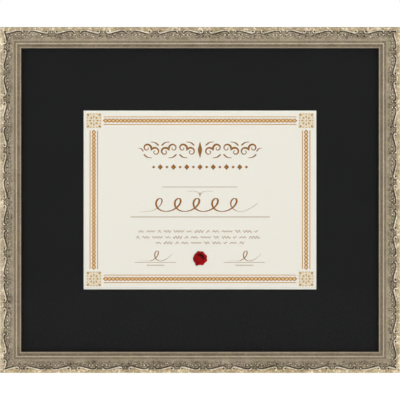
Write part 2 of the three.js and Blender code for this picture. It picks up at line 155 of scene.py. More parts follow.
# Relief in mm: strokes with their radii and rise, beads with their radius, pits with their radius and depth
RELIEF = (
    (LEAVES, (0.3, 0.7, 0.3), 0.6), (SHELL_PETALS, (0.35, 0.5, 0.6), 0.9),
    (FLOWER_PETALS, (0.4, 0.55, 0.6), 0.7),
)
SMALL_VOLUTE = (9.7, 10.3, 1.6, 0.35, 1.2, 2.4)
VOLUTE_RADII = (0.3, 0.5, 0.5)
VOLUTE_RISE = 0.7
BEADS = (
    (0.0, 6.1, 0.85), (22.0, 9.1, 1.0), (26.6, 8.85, 0.9), (18.35, 8.65, 0.85), (13.6, 8.7, 0.6),
    (11.3, 11.4, 0.75),
)
BEAD_RISE = 1.1
PITS = (
    (6.1, 5.0, 0.95, 1.2), (4.0, 10.5, 1.25, 0.9), (26.5, 7.1, 0.6, 0.5), (11.1, 9.1, 0.55, 0.4),
    (9.6, 11.6, 0.5, 0.35), (24.3, 9.5, 0.5, 0.3), (20.2, 9.3, 0.5, 0.3), (1.1, 6.9, 0.5, 0.45),
)
PIT_SHARPNESS = 1.4
TRENCH_RADII = (0.7, 0.85, 0.6)
TRENCH_DEPTH = 0.45
RIDGE_RADII = (0.55, 0.65, 0.6)
RIDGE_FOOT = 0.4
STROKE_POINTS = 120
HOLLOW_RISE = 0.75
HOLLOW_DIP = 0.6
EDGE_FADE = 0.35
SHELL_FADE = 1.2
SHELL_REACH = (2.6, 4.0)
BAND_SKIN = 0.03
STRIP_LAP = 0.05
THINNEST = 0.15

# Toning of the strips: tone of the band, what each form adds or takes, and where the slow changes lie in mm.
# Shade and light are painted into the tone: the hollow is partly the leaf's wash and partly painted shade,
# the trench and the pits hold painted shadow, and the ridge, the beads and the high places get painted
# highlights
BAND_TONE = 0.72
HOLLOW_SHADE = 0.35
COVE_LIGHT = 0.08
COVE_REACH = (12.8, 14.6)
BAND_SHADE = 0.1
BAND_REACH = (17, 25)
EDGE_SHADE = 0.07
EDGE_REACH = (2.8, 4.2)
TRENCH_SHADE = 0.17
PIT_SHADE = 0.25
RIDGE_LIGHT = 0.25
RIDGE_SHADE = 0.17
BEAD_LIGHT = 0.3
HEIGHT_LIGHT = 0.5
HEIGHT_REACH = 5
TONE_LIMITS = (0.03, 0.95)
RIDGE_COOL = 1.5
STRIP_WEAR = 1.15
STRIP_BAND_WEAR = 0.35

# Layout of the printed sheet in mm from its centre
BORDER_X = 125.1
BORDER_Z = 93.22
BORDER_RISE = 0.28
BORDER_LINE_OUT = 4.4
BORDER_LINE_IN = 4.45
BORDER_LINE_HALF = 0.5
CORNER_HALF = 8.9
CORNER_GAP = 2.7
BRAID_PERIOD = 9.0
BRAID_SWING = 1.95
BRAID_HALF = 1.0
BRAID_STRAND = 0.46
BRAID_EDGE = 0.68
KNOT = (1.1, 0.8)

# Corner tiles in mm: an eye, petals and leaves by their two radii and half width, lozenges along the sides
TILE_EYE = (1.5, 1.3)
TILE_PETALS = 8
TILE_PETAL = (2.5, 6.3, 0.95)
TILE_LEAF = (7.5, 12.0, 1.3)
TILE_SIDE = 7.9
TILE_STEP = 3.7
TILE_LOZENGE = (1.2, 0.85)

# Heading in mm: double volutes with sprays, a curl at each end, a spindle in the middle, a row of lozenges
HEADING_Z = 59.0
HEADING_PLACES = (15.5, 36.5, 57.5)
HEADING_R = 5.4
HEADING_LEAN = math.radians(24)
HEADING_TURNS = 1.15
HEADING_PEN = (0.5, 1.4)
SPRAY = ((9, 5), (4.5, 8.6), (-1, 9.4))
SPRAY_PEN = (0.4, 1.25)
CURL = ((66.5, -2), (69.5, 1.5), (73, 2))
CURL_PEN = (0.3, 1.0)
SPINDLE = ((-9.6, 0.1), (-4.6, 1.5), (0, 2.6), (4.6, 1.5), (9.6, 0.1))
ROW_Z = 38.8
ROW_PITCH = 7.8
ROW_EACH_WAY = 7
ROW_LOZENGES = ((3.1, 3.9), (1.9, 2.0))

# Lower half in mm: dotted line, fleuron, rules and pen flourishes
DOT_Z = 15.3
DOT_X = 43.5
DOT_PITCH = 1.7
DOT_LENGTH = 0.9
DOT_HALF = 0.55
FLEURON = ((0, 6.6), (3.4, 9.6), (8.8, 10.6), (15.5, 9.8))
FLEURON_PEN = (0.12, 0.4)
FLEURON_DROP = ((0, 3.8, 0.1), (0, 6.4, 0.8), (0, 9.2, 0.1))
RULE_Z = -20.0
RULE_X = 82
RULE_HALF = 0.4
SIGN_RULE_Z = -73.5
SIGN_X = 52.3
SIGN_RULE = (28.2, 76.4)
SIGN_RULE_HALF = 0.26
SIGN_WAVE = (42, 63)
SIGN_WAVE_Z = -76.9
SIGN_WAVE_PERIOD = 1.7
SIGN_WAVE_SWING = 0.6
SIGN_WAVE_HALF = 0.22
SIGN_RISE = 7.5

# Pen flourishes in mm: loops by start, count, pitch, low, high and swing, the ends beside them, the pen
LONG_LOOPS = (-62, 5, 22, -13.5, 1.8, 8)
LONG_ENDS = ((-71, -14), (57, -11), (68, -4))
LONG_PEN = (0.5, 1.3)
SHORT_LOOPS = (-8, 1, 14, -5.8, 6, 5)
SHORT_ENDS = ((-18, -5.2), (13, -3.4), (20, 2.8))
SHORT_PEN = (0.22, 0.7)
PEN_LEAN = 0.25

# Fine running lines in mm: height, left and right end, and the first of the counts that vary them
FINE_ROWS = ((-37.0, -72.5, 71.0, 3), (-44.0, -75.0, 75.0, 5), (-50.5, -52.0, 52.0, 8))
FINE_PERIOD = 3.7
FINE_HALF = 0.36
FINE_GAP = 3.2
FINE_SHORTEST = 3
FINE_SPAN = (4.0, 2.1)
FINE_SWING = (0.8, 0.2)

# Ink strokes in mm: how far apart they are drawn before they are laid down, and the weld at their ends
STROKE_STEP = 10
STROKE_WELD = 0.004

# How much paper shows through each ink, and how high the flat tints lie as a share of the ink
INK_COVER = {
    "gold_ink": 0.1, "straw_tint": 0.1, "peach_tint": 0.15, "amber_ink": 0.05, "umber_ink": 0.05,
    "lace_ink": 0.08, "brown_ink": 0.08, "tan_ink": 0.08,
}
TINT_LIFT = 0.4

# Fibrous finishes: dark and light tone, grain per metre, roughness, grain depth in metres, any stretch
FIBRES = {
    "mat_core": ((0.78, 0.77, 0.72), (0.84, 0.83, 0.79), 1200, 0.85, 0.00003),
    "brown_hardboard": ((0.085, 0.042, 0.019), (0.22, 0.12, 0.058), 1500, 0.8, 0.0001),
    "foam_core": ((0.8, 0.79, 0.76), (0.9, 0.89, 0.87), 600, 0.85, 0.00005),
    "linen_tape": ((0.62, 0.56, 0.44), (0.8, 0.74, 0.6), 1500, 0.9, 0.00006, (1, 1, 3)),
    "black_rubber": ((0.012, 0.012, 0.013), (0.03, 0.03, 0.032), 1300, 0.8, 0.00005),
}

# Wax seal in mm: valley radius, floor, rim points from the valley, step points from the floor's edge
SEAL_R = 7.7
SEAL_FLOOR_R = 5.0
SEAL_FLOOR = 0.4
SEAL_RIM = ((-0.3, 0), (0, 0.3), (-0.1, 0.65), (-0.6, 1.0), (-1.2, 1.2))
SEAL_STEP = ((0.6, 1.1), (0.25, 0.8), (0, SEAL_FLOOR))
SEAL_FROM_EDGE = 39.2
SEAL_SEGMENTS = 120
SEAL_PETALS = 7
SEAL_PETAL_AT = 2.6
SEAL_PETAL_SPREAD = 1.1
SEAL_EYE_R = 0.8
SEAL_PRESS = 0.3
SEAL_UNEVEN = 0.1

# Painted shade on the wax: the floor and its crescent of painted shadow, the rim with its painted shaded
# side, its edge and lobes
SEAL_FLOOR_TONE = 0.22
SEAL_DARK_TURN = math.radians(52)
SEAL_RIM_TONE = 0.14
SEAL_SIDE_TONE = 0.18
SEAL_SIDE_TURN = math.radians(10)
SEAL_EDGE_TONE = 0.2
SEAL_LOBE_TONE = 0.12

# Lobes of the wax: degrees from the right, and reach past the valley radius in mm
SEAL_LOBES = (
    (106, 1.2), (70, 1.1), (19, 0.9), (-19, 1.2), (-67, 1.1), (-119, 2.2), (-155, 0.7), (180, 0.7),
    (143, 0.4),
)
SEAL_LOBE_SPREAD = 14

# Hardware in mm and degrees, and the share of a diagonal length along each axis
DIAGONAL = math.sqrt(0.5)
NAIL_PROUD = 0.04
SCREW_LENGTH = 11
SCREW_POINT = 3
SCREW_TIP = (0.35, 0.6)
SCREW_R = 1.5
SCREW_SEGMENTS = 40
HEAD_R = 3.2
HEAD_HEIGHT = 1.8
HEAD_EDGE = 0.6
HEAD_CHAMFER = (0.2, 0.12)
CROSS_ARM = 1.9
CROSS_WAIST = 0.45
CROSS_TOP = 2.4
CROSS_DEPTH = 1.7
CROSS_TAPER = 0.5
FIRST_SCREW_TURN = 17
NEXT_SCREW_TURN = 37
BUTTON_HOLE_R = 1.85
BUTTON_SEGMENTS = 64
BUTTON_EDGE = 0.22
RING_CORNER = 2.0
RING_STRAIGHT = 5.5
STRAP_WRAP = 2.0
STRAP_TAIL = 25.0
STRAP_TAB = 8.0
STRAP_SEAM = 0.05
STRAP_ROUND = 3.6
BUMPER_ROUND = 0.8
BUMPER_SEGMENTS = 48

# Soft lights: name, place in metres, and the setting that holds its power
LIGHTS = (
    ("left_light", (-1.9, -2.4, 0.1), "side_power"), ("right_light", (1.9, -2.4, 0.1), "side_power"),
    ("top_light", (0, -2.2, 2.3), "top_power"), ("left_back_light", (-1.8, 2.3, 1.2), "back_power"),
    ("right_back_light", (1.8, 2.3, 1.2), "back_power"),
)
SENSOR = 36
FLOOR_GAP = 0.5
SKY_LIGHT = 0.34
SKY_GLOSS = 0.16


# Settings

def length(name, description, default):
    """A size that a user may change."""
    return bpy.props.FloatProperty(name=name, description=description, default=default, unit="LENGTH")


def power(name, description, default):
    """The power of a light."""
    return bpy.props.FloatProperty(name=name, description=description, default=default, unit="POWER")


def colour(name, description, default):
    """A colour that a user may change."""
    return bpy.props.FloatVectorProperty(
        name=name, description=description, default=default, subtype="COLOR")


class MouldingSizes(bpy.types.PropertyGroup):
    """Sizes of the mitred rails"""

    outer_width: length("Outer width", "Width over the rails", cad_high[0] - cad_low[0])
    outer_height: length("Outer height", "Height over the rails", cad_high[2] - cad_low[2])
    rail_width: length("Rail width", "Width of a rail's face", 0.025)
    rabbet_width: length("Rabbet width", "Width of the step that holds the sheets", 0.0065)
    bead_radius: length("Bead radius", "Radius of the small round bead", 0.0011)
    mitre_gap: length("Mitre gap", "Glue line at each corner", 0.00002)


class OrnamentSizes(bpy.types.PropertyGroup):
    """Sizes of the moulded scroll strips"""

    repeat: length("Repeat", "Length of one scroll repeat", 0.0606)
    steps: bpy.props.IntProperty(name="Steps", description="Grid steps along half a repeat", default=101)
    ridge_height: length("Ridge height", "How far the scroll stands over the band", 0.001)
    top_start: length("Top start", "Shell nearest the middle of the top rail", 0.0074)
    bottom_start: length("Bottom start", "Shell nearest the middle of the bottom rail", 0.027)
    left_start: length("Left start", "Shell nearest the middle of the left rail", -0.0021)
    right_start: length("Right start", "Shell nearest the middle of the right rail", -0.0215)


class SheetSizes(bpy.types.PropertyGroup):
    """Sizes of the mat and the printed sheet"""

    window_width: length("Window width", "Mat window at its front edge", 0.274)
    bevel: length("Bevel", "Width of the cut edge of the mat", 0.0014)
    ink_lift: length("Ink lift", "How far the raised ink stands on the paper", 0.00004)


class HardwareSizes(bpy.types.PropertyGroup):
    """Sizes of the hardware on the back"""

    button_width: length("Button width", "Width of a turn button", 0.010)
    button_reach: length("Button reach", "Screw to tip of a turn button", 0.017)
    button_tail: length("Button tail", "Screw to tail of a turn button", 0.0055)
    wire_radius: length("Ring wire radius", "Wire of the D-ring", 0.0012)
    ring_half_width: length("Ring half width", "Middle of the D-ring to the middle of its leg", 0.007)
    strap_width: length("Strap width", "Width of a hanger strap", 0.009)
    strap_thickness: length("Strap thickness", "Thickness of a hanger strap", 0.001)
    nail_thickness: length("Nail thickness", "Thickness of a V-nail", 0.0006)
    nail_wing: length("Nail wing", "Length of each wing of a V-nail", 0.005)
    nail_angle: bpy.props.FloatProperty(
        name="Nail angle", description="Mitre to each wing of a V-nail", default=math.radians(40),
        subtype="ANGLE")


class FrameColours(bpy.types.PropertyGroup):
    """Colours of the finishes, in linear light"""

    # darkest stop: the dark wash and also painted shade in the pits, the trench and at the sight edge
    wash_and_painted_shade: colour("Dark wash", "Wash left in the pits", (0.045, 0.034, 0.025))
    shade: colour("Shaded leaf", "Leaf in the grooves", (0.141, 0.108, 0.066))
    taupe: colour("Taupe leaf", "Toned leaf in the hollow", (0.254, 0.207, 0.14))
    champagne: colour("Champagne leaf", "Leaf on the plain members", (0.468, 0.395, 0.287))
    # palest stop: leaf rubbed pale and also a painted highlight on the ridges and the bead
    worn_and_painted_highlight: colour("Worn highlight", "Leaf rubbed pale on the ridges", (0.83, 0.776, 0.687))
    straw: colour("Straw band", "Tint of the outer band", (1.0, 0.94, 0.8))
    mat: colour("Mat black", "Face of the mat", (0.0074, 0.0074, 0.0074))
    paper: colour("Paper", "Certificate stock", (0.761, 0.721, 0.65))
    brown_ink: colour("Brown ink", "Heading and flourishes", (0.265, 0.098, 0.003))
    tan_ink: colour("Tan ink", "Fine lines and rules", (0.275, 0.125, 0.012))
    gold_ink: colour("Gold ink", "Lines of the border", (0.57, 0.27, 0.025))
    amber_ink: colour("Amber ink", "Strands of the braid", (0.54, 0.215, 0.01))
    umber_ink: colour("Umber ink", "Edges and crossings of the braid", (0.165, 0.073, 0.015))
    lace_ink: colour("Lace ink", "Rosettes of the corner tiles", (0.41, 0.235, 0.065))
    straw_tint: colour("Straw tint", "Ground of the braid", (0.72, 0.51, 0.25))
    peach_tint: colour("Peach tint", "Ground of the corner tiles", (0.7, 0.595, 0.44))
    wax: colour("Wax", "Sealing wax", (0.365, 0.0015, 0.004))


class StageSettings(bpy.types.PropertyGroup):
    """Camera, lights and floor"""

    camera_distance: length("Camera distance", "Camera to the wall plane", 4.2)
    picture_width: length("Picture width", "Width of the view at the rails' front edge", 0.4701)
    side_power: power("Side light", "Power of each side light", 30.6)
    top_power: power("Top light", "Power of the top light", 18.8)
    back_power: power("Back light", "Power of each light behind", 30.0)
    light_size: length("Light size", "Side of each soft light", 1.5)
    floor_size: length("Floor size", "Side of the floor", 8.0)


# Mesh helpers

def catmull(points, count):
    """Points on a smooth curve through the given ones, evenly shared between them."""
    fixed = np.array([points[0], *points, points[-1]], float)
    found = []
    for place in np.linspace(0, len(points) - 1, count):
        at = min(int(place), len(points) - 2)
        t = place - at
        a, b, c, d = fixed[at:at + 4]
        found.append(0.5 * (2 * b + (c - a) * t + (2 * a - 5 * b + 4 * c - d) * t ** 2
                            + (3 * b - a - 3 * c + d) * t ** 3))
    return np.array(found)


def curve_between(start, control, end, count):
    """Points of a quadratic curve after its start, up to and with its end."""
    found = []
    for step in range(1, count + 1):
        t = step / count
        found.append(tuple((1 - t) ** 2 * a + 2 * t * (1 - t) * b + t * t * c
                           for a, b, c in zip(start, control, end)))
    return found


def spiral(x, z, start, end, turns, first_angle):
    """Points of a volute from its outside to its eye."""
    points = []
    for share in np.linspace(0, 1, int(abs(turns) * 14) + 2):
        radius = start + (end - start) * share
        angle = first_angle + math.tau * turns * share
        points.append((x + radius * math.cos(angle), z + radius * math.sin(angle)))
    return points


def side_frame(turn, is_long):
    """Half length of a side, distance from the middle to its outer edge, and its turn into place."""
    sizes = bpy.context.scene.moulding_sizes
    spans = (sizes.outer_width / 2, sizes.outer_height / 2)
    half, reach = spans if is_long else spans[::-1]
    return half, reach, Matrix.Rotation(math.radians(turn), 4, "Y")


def verts_in(items):
    """The vertices among what an operator made."""
    return [item for item in items if isinstance(item, bmesh.types.BMVert)]


def edges_in(items):
    """The edges among what an operator made."""
    return [item for item in items if isinstance(item, bmesh.types.BMEdge)]


def prism(outline, way):
    """A closed shape: an outline of points drawn out along a vector."""
    bm = bmesh.new()
    face = bm.faces.new([bm.verts.new(point) for point in outline])
    drawn = bmesh.ops.extrude_face_region(bm, geom=[face])["geom"]
    bmesh.ops.translate(bm, verts=verts_in(drawn), vec=way)
    bmesh.ops.recalc_face_normals(bm, faces=bm.faces)
    return bm


def spin_profile(profile, steps):
    """A closed turned shape round Y from (radius, y) points that start and end on the axis."""
    bm = bmesh.new()
    verts = [bm.verts.new((radius, y, 0)) for radius, y in profile]
    edges = [bm.edges.new(pair) for pair in zip(verts, verts[1:])]
    bmesh.ops.spin(bm, geom=verts + edges, cent=(0, 0, 0), axis=(0, 1, 0), angle=math.tau, steps=steps,
                   use_merge=True, use_duplicate=False)
    bmesh.ops.remove_doubles(bm, verts=bm.verts, dist=WELD)
    bmesh.ops.recalc_face_normals(bm, faces=bm.faces)
    return bm


def mitre(bm, half, reach, gap):
    """Cuts both ends of a rail at 45 degrees and returns the cut edges of each end."""
    cuts = []
    for end in (-1, 1):
        found = bmesh.ops.bisect_plane(
            bm, geom=bm.verts[:] + bm.edges[:] + bm.faces[:], dist=WELD, clear_outer=True,
            plane_co=(end * (half - gap), 0, reach), plane_no=Vector((end, 0, -1)).normalized())
        cuts.append(edges_in(found["geom_cut"]))
    return cuts


def soften(bm, degrees):
    """Smooth shading, with every edge sharper than the angle kept crisp."""
    for face in bm.faces:
        face.smooth = True
    for edge in bm.edges:
        if len(edge.link_faces) == 2 and edge.calc_face_angle(0) > math.radians(degrees):
            edge.smooth = False


def to_mesh(bm, name):
    """Turns a bmesh into a mesh and frees it."""
    mesh = bpy.data.meshes.new(name)
    bm.to_mesh(mesh)
    bm.free()
    return mesh


def link_object(name, data):
    """A new object in the scene."""
    made = bpy.data.objects.new(name, data)
    bpy.context.scene.collection.objects.link(made)
    return made


def finished_mesh(source):
    """The mesh of a curve or of an object with its modifiers, which is then removed."""
    bpy.context.view_layer.update()
    mesh = bpy.data.meshes.new_from_object(source.evaluated_get(bpy.context.evaluated_depsgraph_get()))
    bpy.data.objects.remove(source)
    mesh.materials.clear()
    return mesh


def wire_mesh(name, paths, depth, resolution, is_loop=False):
    """A round wire along each path of (x, y, z, share of the depth) points in mm, as one mesh."""
    curve = bpy.data.curves.new(name, "CURVE")
    curve.dimensions = "3D"
    curve.bevel_depth = depth
    curve.bevel_resolution = resolution
    curve.use_fill_caps = not is_loop
    for path in paths:
        spline = curve.splines.new("POLY")
        spline.points.add(len(path) - 1)
        spline.use_cyclic_u = is_loop
        for point, (x, y, z, share) in zip(spline.points, path):
            point.co = (x * MM, y * MM, z * MM, 1)
            point.radius = share
    mesh = finished_mesh(link_object(name, curve))
    bpy.data.curves.remove(curve)
    return mesh


def add_piece(bm, name, materials, nodes, body=BODY):
    """Turns a bmesh into a piece of the object that moves with a body."""
    place_mesh(to_mesh(bm, name), name, materials, nodes, body)


def place_mesh(mesh, name, materials, nodes=(), body=BODY):
    """Links a finished mesh as a piece, with its finish and its body."""
    for material in materials:
        mesh.materials.append(material)
    piece = link_object(name, mesh)
    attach(piece, body)
    if nodes:
        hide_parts(*nodes)


def dress_node(node, material):
    """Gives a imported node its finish."""
    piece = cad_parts[node]
    piece.data.materials.clear()
    piece.data.materials.append(material)


# Material helpers

def new_material(name):
    """A material with its node tree and its shader."""
    material = bpy.data.materials.new(name)
    material.use_nodes = True
    tree = material.node_tree
    return material, tree, tree.nodes["Principled BSDF"]


def feed(tree, target, inputs):
    """Sets the inputs of a node to numbers and colours, or links them to the outputs that feed them."""
    for key, value in inputs.items():
        socket = target.inputs[key]
        if isinstance(value, bpy.types.NodeSocket):
            tree.links.new(value, socket)
        elif socket.type == "RGBA":
            socket.default_value = (*value[:3], 1)
        else:
            socket.default_value = value


def add_node(tree, kind, inputs=None, **settings):
    """A node with its settings and its inputs."""
    made = tree.nodes.new(kind)
    for key, value in settings.items():
        setattr(made, key, value)
    feed(tree, made, inputs or {})
    return made


def ramp(tree, factor, stops):
    """A colour ramp with (place, colour) stops, fed by a factor."""
    made = add_node(tree, "ShaderNodeValToRGB", {"Fac": factor})
    while len(made.color_ramp.elements) < len(stops):
        made.color_ramp.elements.new(0.5)
    for element, (place, tint) in zip(made.color_ramp.elements, stops):
        element.position = place
        element.color = (*tint[:3], 1)
    return made.outputs["Color"]


def object_coords(tree):
    """The piece's own coordinates."""
    return add_node(tree, "ShaderNodeTexCoord").outputs["Object"]


def noise(tree, scale, detail=4.0, roughness=0.55, stretch=None):
    """Noise on the piece's own coordinates, in features per metre."""
    coords = object_coords(tree)
    if stretch:
        coords = add_node(tree, "ShaderNodeMapping", {"Vector": coords, "Scale": stretch}).outputs["Vector"]
    return add_node(tree, "ShaderNodeTexNoise", {
        "Vector": coords, "Scale": scale, "Detail": detail, "Roughness": roughness}).outputs["Fac"]


def spread(tree, factor, low, high):
    """A factor of about 0.25 to 0.75 mapped to a range."""
    made = add_node(tree, "ShaderNodeMapRange", {
        "Value": factor, "From Min": 0.25, "From Max": 0.75, "To Min": low, "To Max": high})
    return made.outputs["Result"]


def math_node(tree, operation, first, second):
    """Two factors, or a factor and a number, combined."""
    return add_node(tree, "ShaderNodeMath", {0: first, 1: second}, operation=operation).outputs["Value"]


def blend_colour(tree, factor, first, second, mode="MIX"):
    """Two colours mixed by a factor."""
    made = add_node(tree, "ShaderNodeMix", data_type="RGBA", blend_type=mode)
    places = {item.identifier: place for place, item in enumerate(made.inputs)}
    feed(tree, made, {
        places["Factor_Float"]: factor, places["A_Color"]: first, places["B_Color"]: second})
    return next(item for item in made.outputs if item.identifier == "Result_Color")


def tinted(tree, factor, base, tint):
    """A colour that is multiplied by a tint as far as the factor says."""
    return blend_colour(tree, factor, base, blend_colour(tree, 1.0, base, tint, "MULTIPLY"))


def attribute(tree, name):
    """A number kept on the piece's points."""
    return add_node(tree, "ShaderNodeAttribute", attribute_name=name).outputs["Fac"]


def bump(tree, height, distance):
    """The normal of a fine surface relief."""
    return add_node(tree, "ShaderNodeBump", {
        "Height": height, "Distance": distance, "Strength": 1.0}).outputs["Normal"]


# Materials

def gilt_material():
    """Toned leaf: dark wash and painted shade in the hollows, taupe, champagne, and pale where it is rubbed
    or a highlight is painted.
    """
    colours = bpy.context.scene.frame_colours
    material, tree, shader = new_material("gilt_leaf")
    cloud = spread(tree, noise(tree, 70, detail=3.0), -0.13, 0.13)
    mottle = spread(tree, noise(tree, 330, roughness=0.7), -0.3, 0.3)
    patchy = math_node(tree, "MULTIPLY", math_node(tree, "ADD", cloud, mottle), attribute(tree, "wear"))
    fleck = spread(tree, noise(tree, 1300, detail=2.0), -0.04, 0.04)
    # tone with its painted shade and highlights, plus random patches and flecks
    aged_and_shaded = math_node(tree, "ADD", attribute(tree, "tone"), math_node(tree, "ADD", patchy, fleck))
    leaf_tone = ramp(tree, aged_and_shaded, (
        (0.0, colours.wash_and_painted_shade), (0.2, colours.shade), (0.4, colours.taupe), (0.8, colours.champagne),
        (1.0, colours.worn_and_painted_highlight)))
    leaf_tone = tinted(tree, attribute(tree, "warm"), leaf_tone, colours.straw)
    olive = spread(tree, noise(tree, 60, detail=2.0), -0.1, 0.65)
    leaf_tone = tinted(tree, olive, leaf_tone, (0.95, 1.0, 0.82))
    rose = spread(tree, noise(tree, 85, detail=2.0, roughness=0.5, stretch=(1, 1, 1.3)), -0.15, 0.75)
    feed(tree, shader, {
        "Base Color": tinted(tree, rose, leaf_tone, (1.04, 0.96, 1.0)),
        "Roughness": spread(tree, noise(tree, 420, detail=3.0), 0.42, 0.62),
        "Metallic": 0.12,
        "Normal": bump(tree, noise(tree, 900, detail=5.0, roughness=0.6), 0.00008)})
    return material


def raw_wood_material():
    """Bare pale pine with grain along the rail."""
    material, tree, shader = new_material("bare_pine")
    stretch = math_node(tree, "MULTIPLY", attribute(tree, "along"), 0.05)
    lie = add_node(tree, "ShaderNodeCombineXYZ", {"X": stretch, "Y": attribute(tree, "across")})
    grain = add_node(tree, "ShaderNodeTexNoise", {
        "Vector": lie.outputs["Vector"], "Scale": 520, "Detail": 5}).outputs["Fac"]
    feed(tree, shader, {
        "Base Color": ramp(tree, grain, (
            (0.3, (0.33, 0.2, 0.1)), (0.48, (0.56, 0.39, 0.22)), (0.7, (0.66, 0.49, 0.3)))),
        "Roughness": spread(tree, grain, 0.65, 0.85),
        "Normal": bump(tree, grain, 0.0001)})
    return material


def fibre_material(name, dark, light, scale, rough, depth, stretch=None):
    """Paper, board or rubber: a fine two-tone grain with a little relief."""
    material, tree, shader = new_material(name)
    grain = noise(tree, scale, detail=5.0, roughness=0.6, stretch=stretch)
    fine = math_node(tree, "MULTIPLY", grain, 0.85)
    broad = math_node(tree, "MULTIPLY", noise(tree, 24, detail=2.0), 0.15)
    feed(tree, shader, {
        "Base Color": ramp(tree, math_node(tree, "ADD", fine, broad), ((0.35, dark), (0.65, light))),
        "Roughness": spread(tree, grain, rough - 0.06, rough + 0.06),
        "Specular IOR Level": 0.2,
        "Normal": bump(tree, grain, depth)})
    return material


def listed_fibre(name):
    """One of the fibrous finishes in the list."""
    return fibre_material(name, *FIBRES[name])


def ink_material(name, cover):
    """Printing ink that lets a little of the paper show."""
    colours = bpy.context.scene.frame_colours
    material, tree, shader = new_material(name)
    bare = spread(tree, noise(tree, 900, detail=3.0), 0.0, cover)
    feed(tree, shader, {
        "Base Color": blend_colour(tree, bare, getattr(colours, name), colours.paper),
        "Roughness": 0.75,
        "Specular IOR Level": 0.05})
    return material


def wax_material():
    """Sealing wax: bright red on the rim, nearly black where shade and the rim's shadow are painted in."""
    wax = bpy.context.scene.frame_colours.wax
    material, tree, shader = new_material("sealing_wax")
    cloud = spread(tree, noise(tree, 420, detail=3.0), -0.1, 0.16)
    # painted shade of the wax, with a random cloud
    depth = math_node(tree, "ADD", attribute(tree, "fold"), cloud)
    feed(tree, shader, {
        "Base Color": ramp(tree, depth, ((0.0, wax), (0.8, [part * 0.12 for part in wax]))),
        "Roughness": spread(tree, noise(tree, 500, detail=3.0), 0.25, 0.4),
        "Specular IOR Level": 0.08,
        "Normal": bump(tree, noise(tree, 700), 0.00005)})
    return material


def steel_material():
    """Zinc-plated steel with faint spangle and scratches."""
    material, tree, shader = new_material("plated_steel")
    spangle = add_node(tree, "ShaderNodeTexVoronoi", {"Vector": object_coords(tree), "Scale": 420})
    spots = math_node(tree, "MULTIPLY", spangle.outputs["Distance"], 0.35)
    tone = math_node(tree, "ADD", spots, noise(tree, 700, detail=3.0))
    scratches = noise(tree, 1600, roughness=0.6, stretch=(1, 0.2, 1))
    feed(tree, shader, {
        "Base Color": ramp(tree, tone, ((0.35, (0.3, 0.31, 0.325)), (0.85, (0.46, 0.47, 0.485)))),
        "Metallic": 1.0,
        "Roughness": spread(tree, scratches, 0.26, 0.44),
        "Normal": bump(tree, scratches, 0.00002)})
    return material


def glass_material():
    """Coated picture glass: clear, with a weak reflection that grows at a slant."""
    material, tree, shader = new_material("coated_glass")
    tree.nodes.remove(shader)
    clear = add_node(tree, "ShaderNodeBsdfTransparent", {"Color": (0.985, 0.99, 0.988)})
    gloss = add_node(tree, "ShaderNodeBsdfGlossy", {"Roughness": 0.02})
    slant = math_node(tree, "POWER", add_node(tree, "ShaderNodeLayerWeight").outputs["Facing"], 5.0)
    shine = add_node(tree, "ShaderNodeMapRange", {"Value": slant, "To Min": 0.001, "To Max": 0.6})
    mix = add_node(tree, "ShaderNodeMixShader", {
        0: shine.outputs["Result"], 1: clear.outputs["BSDF"], 2: gloss.outputs["BSDF"]})
    feed(tree, tree.nodes["Material Output"], {"Surface": mix.outputs["Shader"]})
    return material


def gilt():
    """The leaf that the rails and the strips share."""
    return bpy.data.materials.get("gilt_leaf") or gilt_material()


def steel():
    """The plated steel that all the hardware shares."""
    return bpy.data.materials.get("plated_steel") or steel_material()


# Rails

def rail_section(sizes):
    """A rail's section from its back round to its outer side: mm across, and mm above the ledge."""
    wide = sizes.rail_width / MM
    land = wide - sizes.rabbet_width / MM
    back = (LEDGE_Y - REAR_Y) / MM
    bead = sizes.bead_radius / MM
    lip_middle = (LIP_ACROSS + wide) / 2
    points = [(ARRIS, back), (land, back), (land, 0), (wide, 0), (wide, LIP_EDGE_HEIGHT)]
    points += curve_between(points[-1], (wide, LIP_HEIGHT), (lip_middle, LIP_HEIGHT), ROUND_STEPS)
    lip_foot = (LIP_ACROSS, LIP_EDGE_HEIGHT)
    points += curve_between(points[-1], (LIP_ACROSS, LIP_HEIGHT), lip_foot, ROUND_STEPS)
    groove = ((LIP_ACROSS + BEAD_ACROSS + bead) / 2, 2 * GROOVE_HEIGHT - LIP_EDGE_HEIGHT)
    points += curve_between(points[-1], groove, (BEAD_ACROSS + bead, BEAD_HEIGHT), GROOVE_STEPS)
    for step in range(1, BEAD_STEPS + 1):
        angle = math.pi * step / BEAD_STEPS
        points.append((BEAD_ACROSS + bead * math.cos(angle), BEAD_HEIGHT + bead * math.sin(angle)))
    points += [(BEAD_ACROSS - bead, QUIRK_HEIGHT), (QUIRK_ACROSS, QUIRK_HEIGHT)]
    cove = (QUIRK_ACROSS, (QUIRK_HEIGHT + COVE_HEIGHT) / 2)
    points += curve_between(points[-1], cove, (STRIP_ACROSS, COVE_HEIGHT), COVE_STEPS)
    points += [(STRIP_ACROSS, SEAT_INNER), (BAND_ACROSS, SEAT_OUTER), (BAND_ACROSS, BAND_HEIGHT),
               (EDGE_ROUND, BAND_HEIGHT)]
    points += curve_between(points[-1], (0, BAND_HEIGHT), (0, BAND_HEIGHT - EDGE_ROUND), ROUND_STEPS)
    return points + [(0, BAND_HEIGHT - EDGE_ROUND - SIDE_FADE), (0, back + ARRIS)]


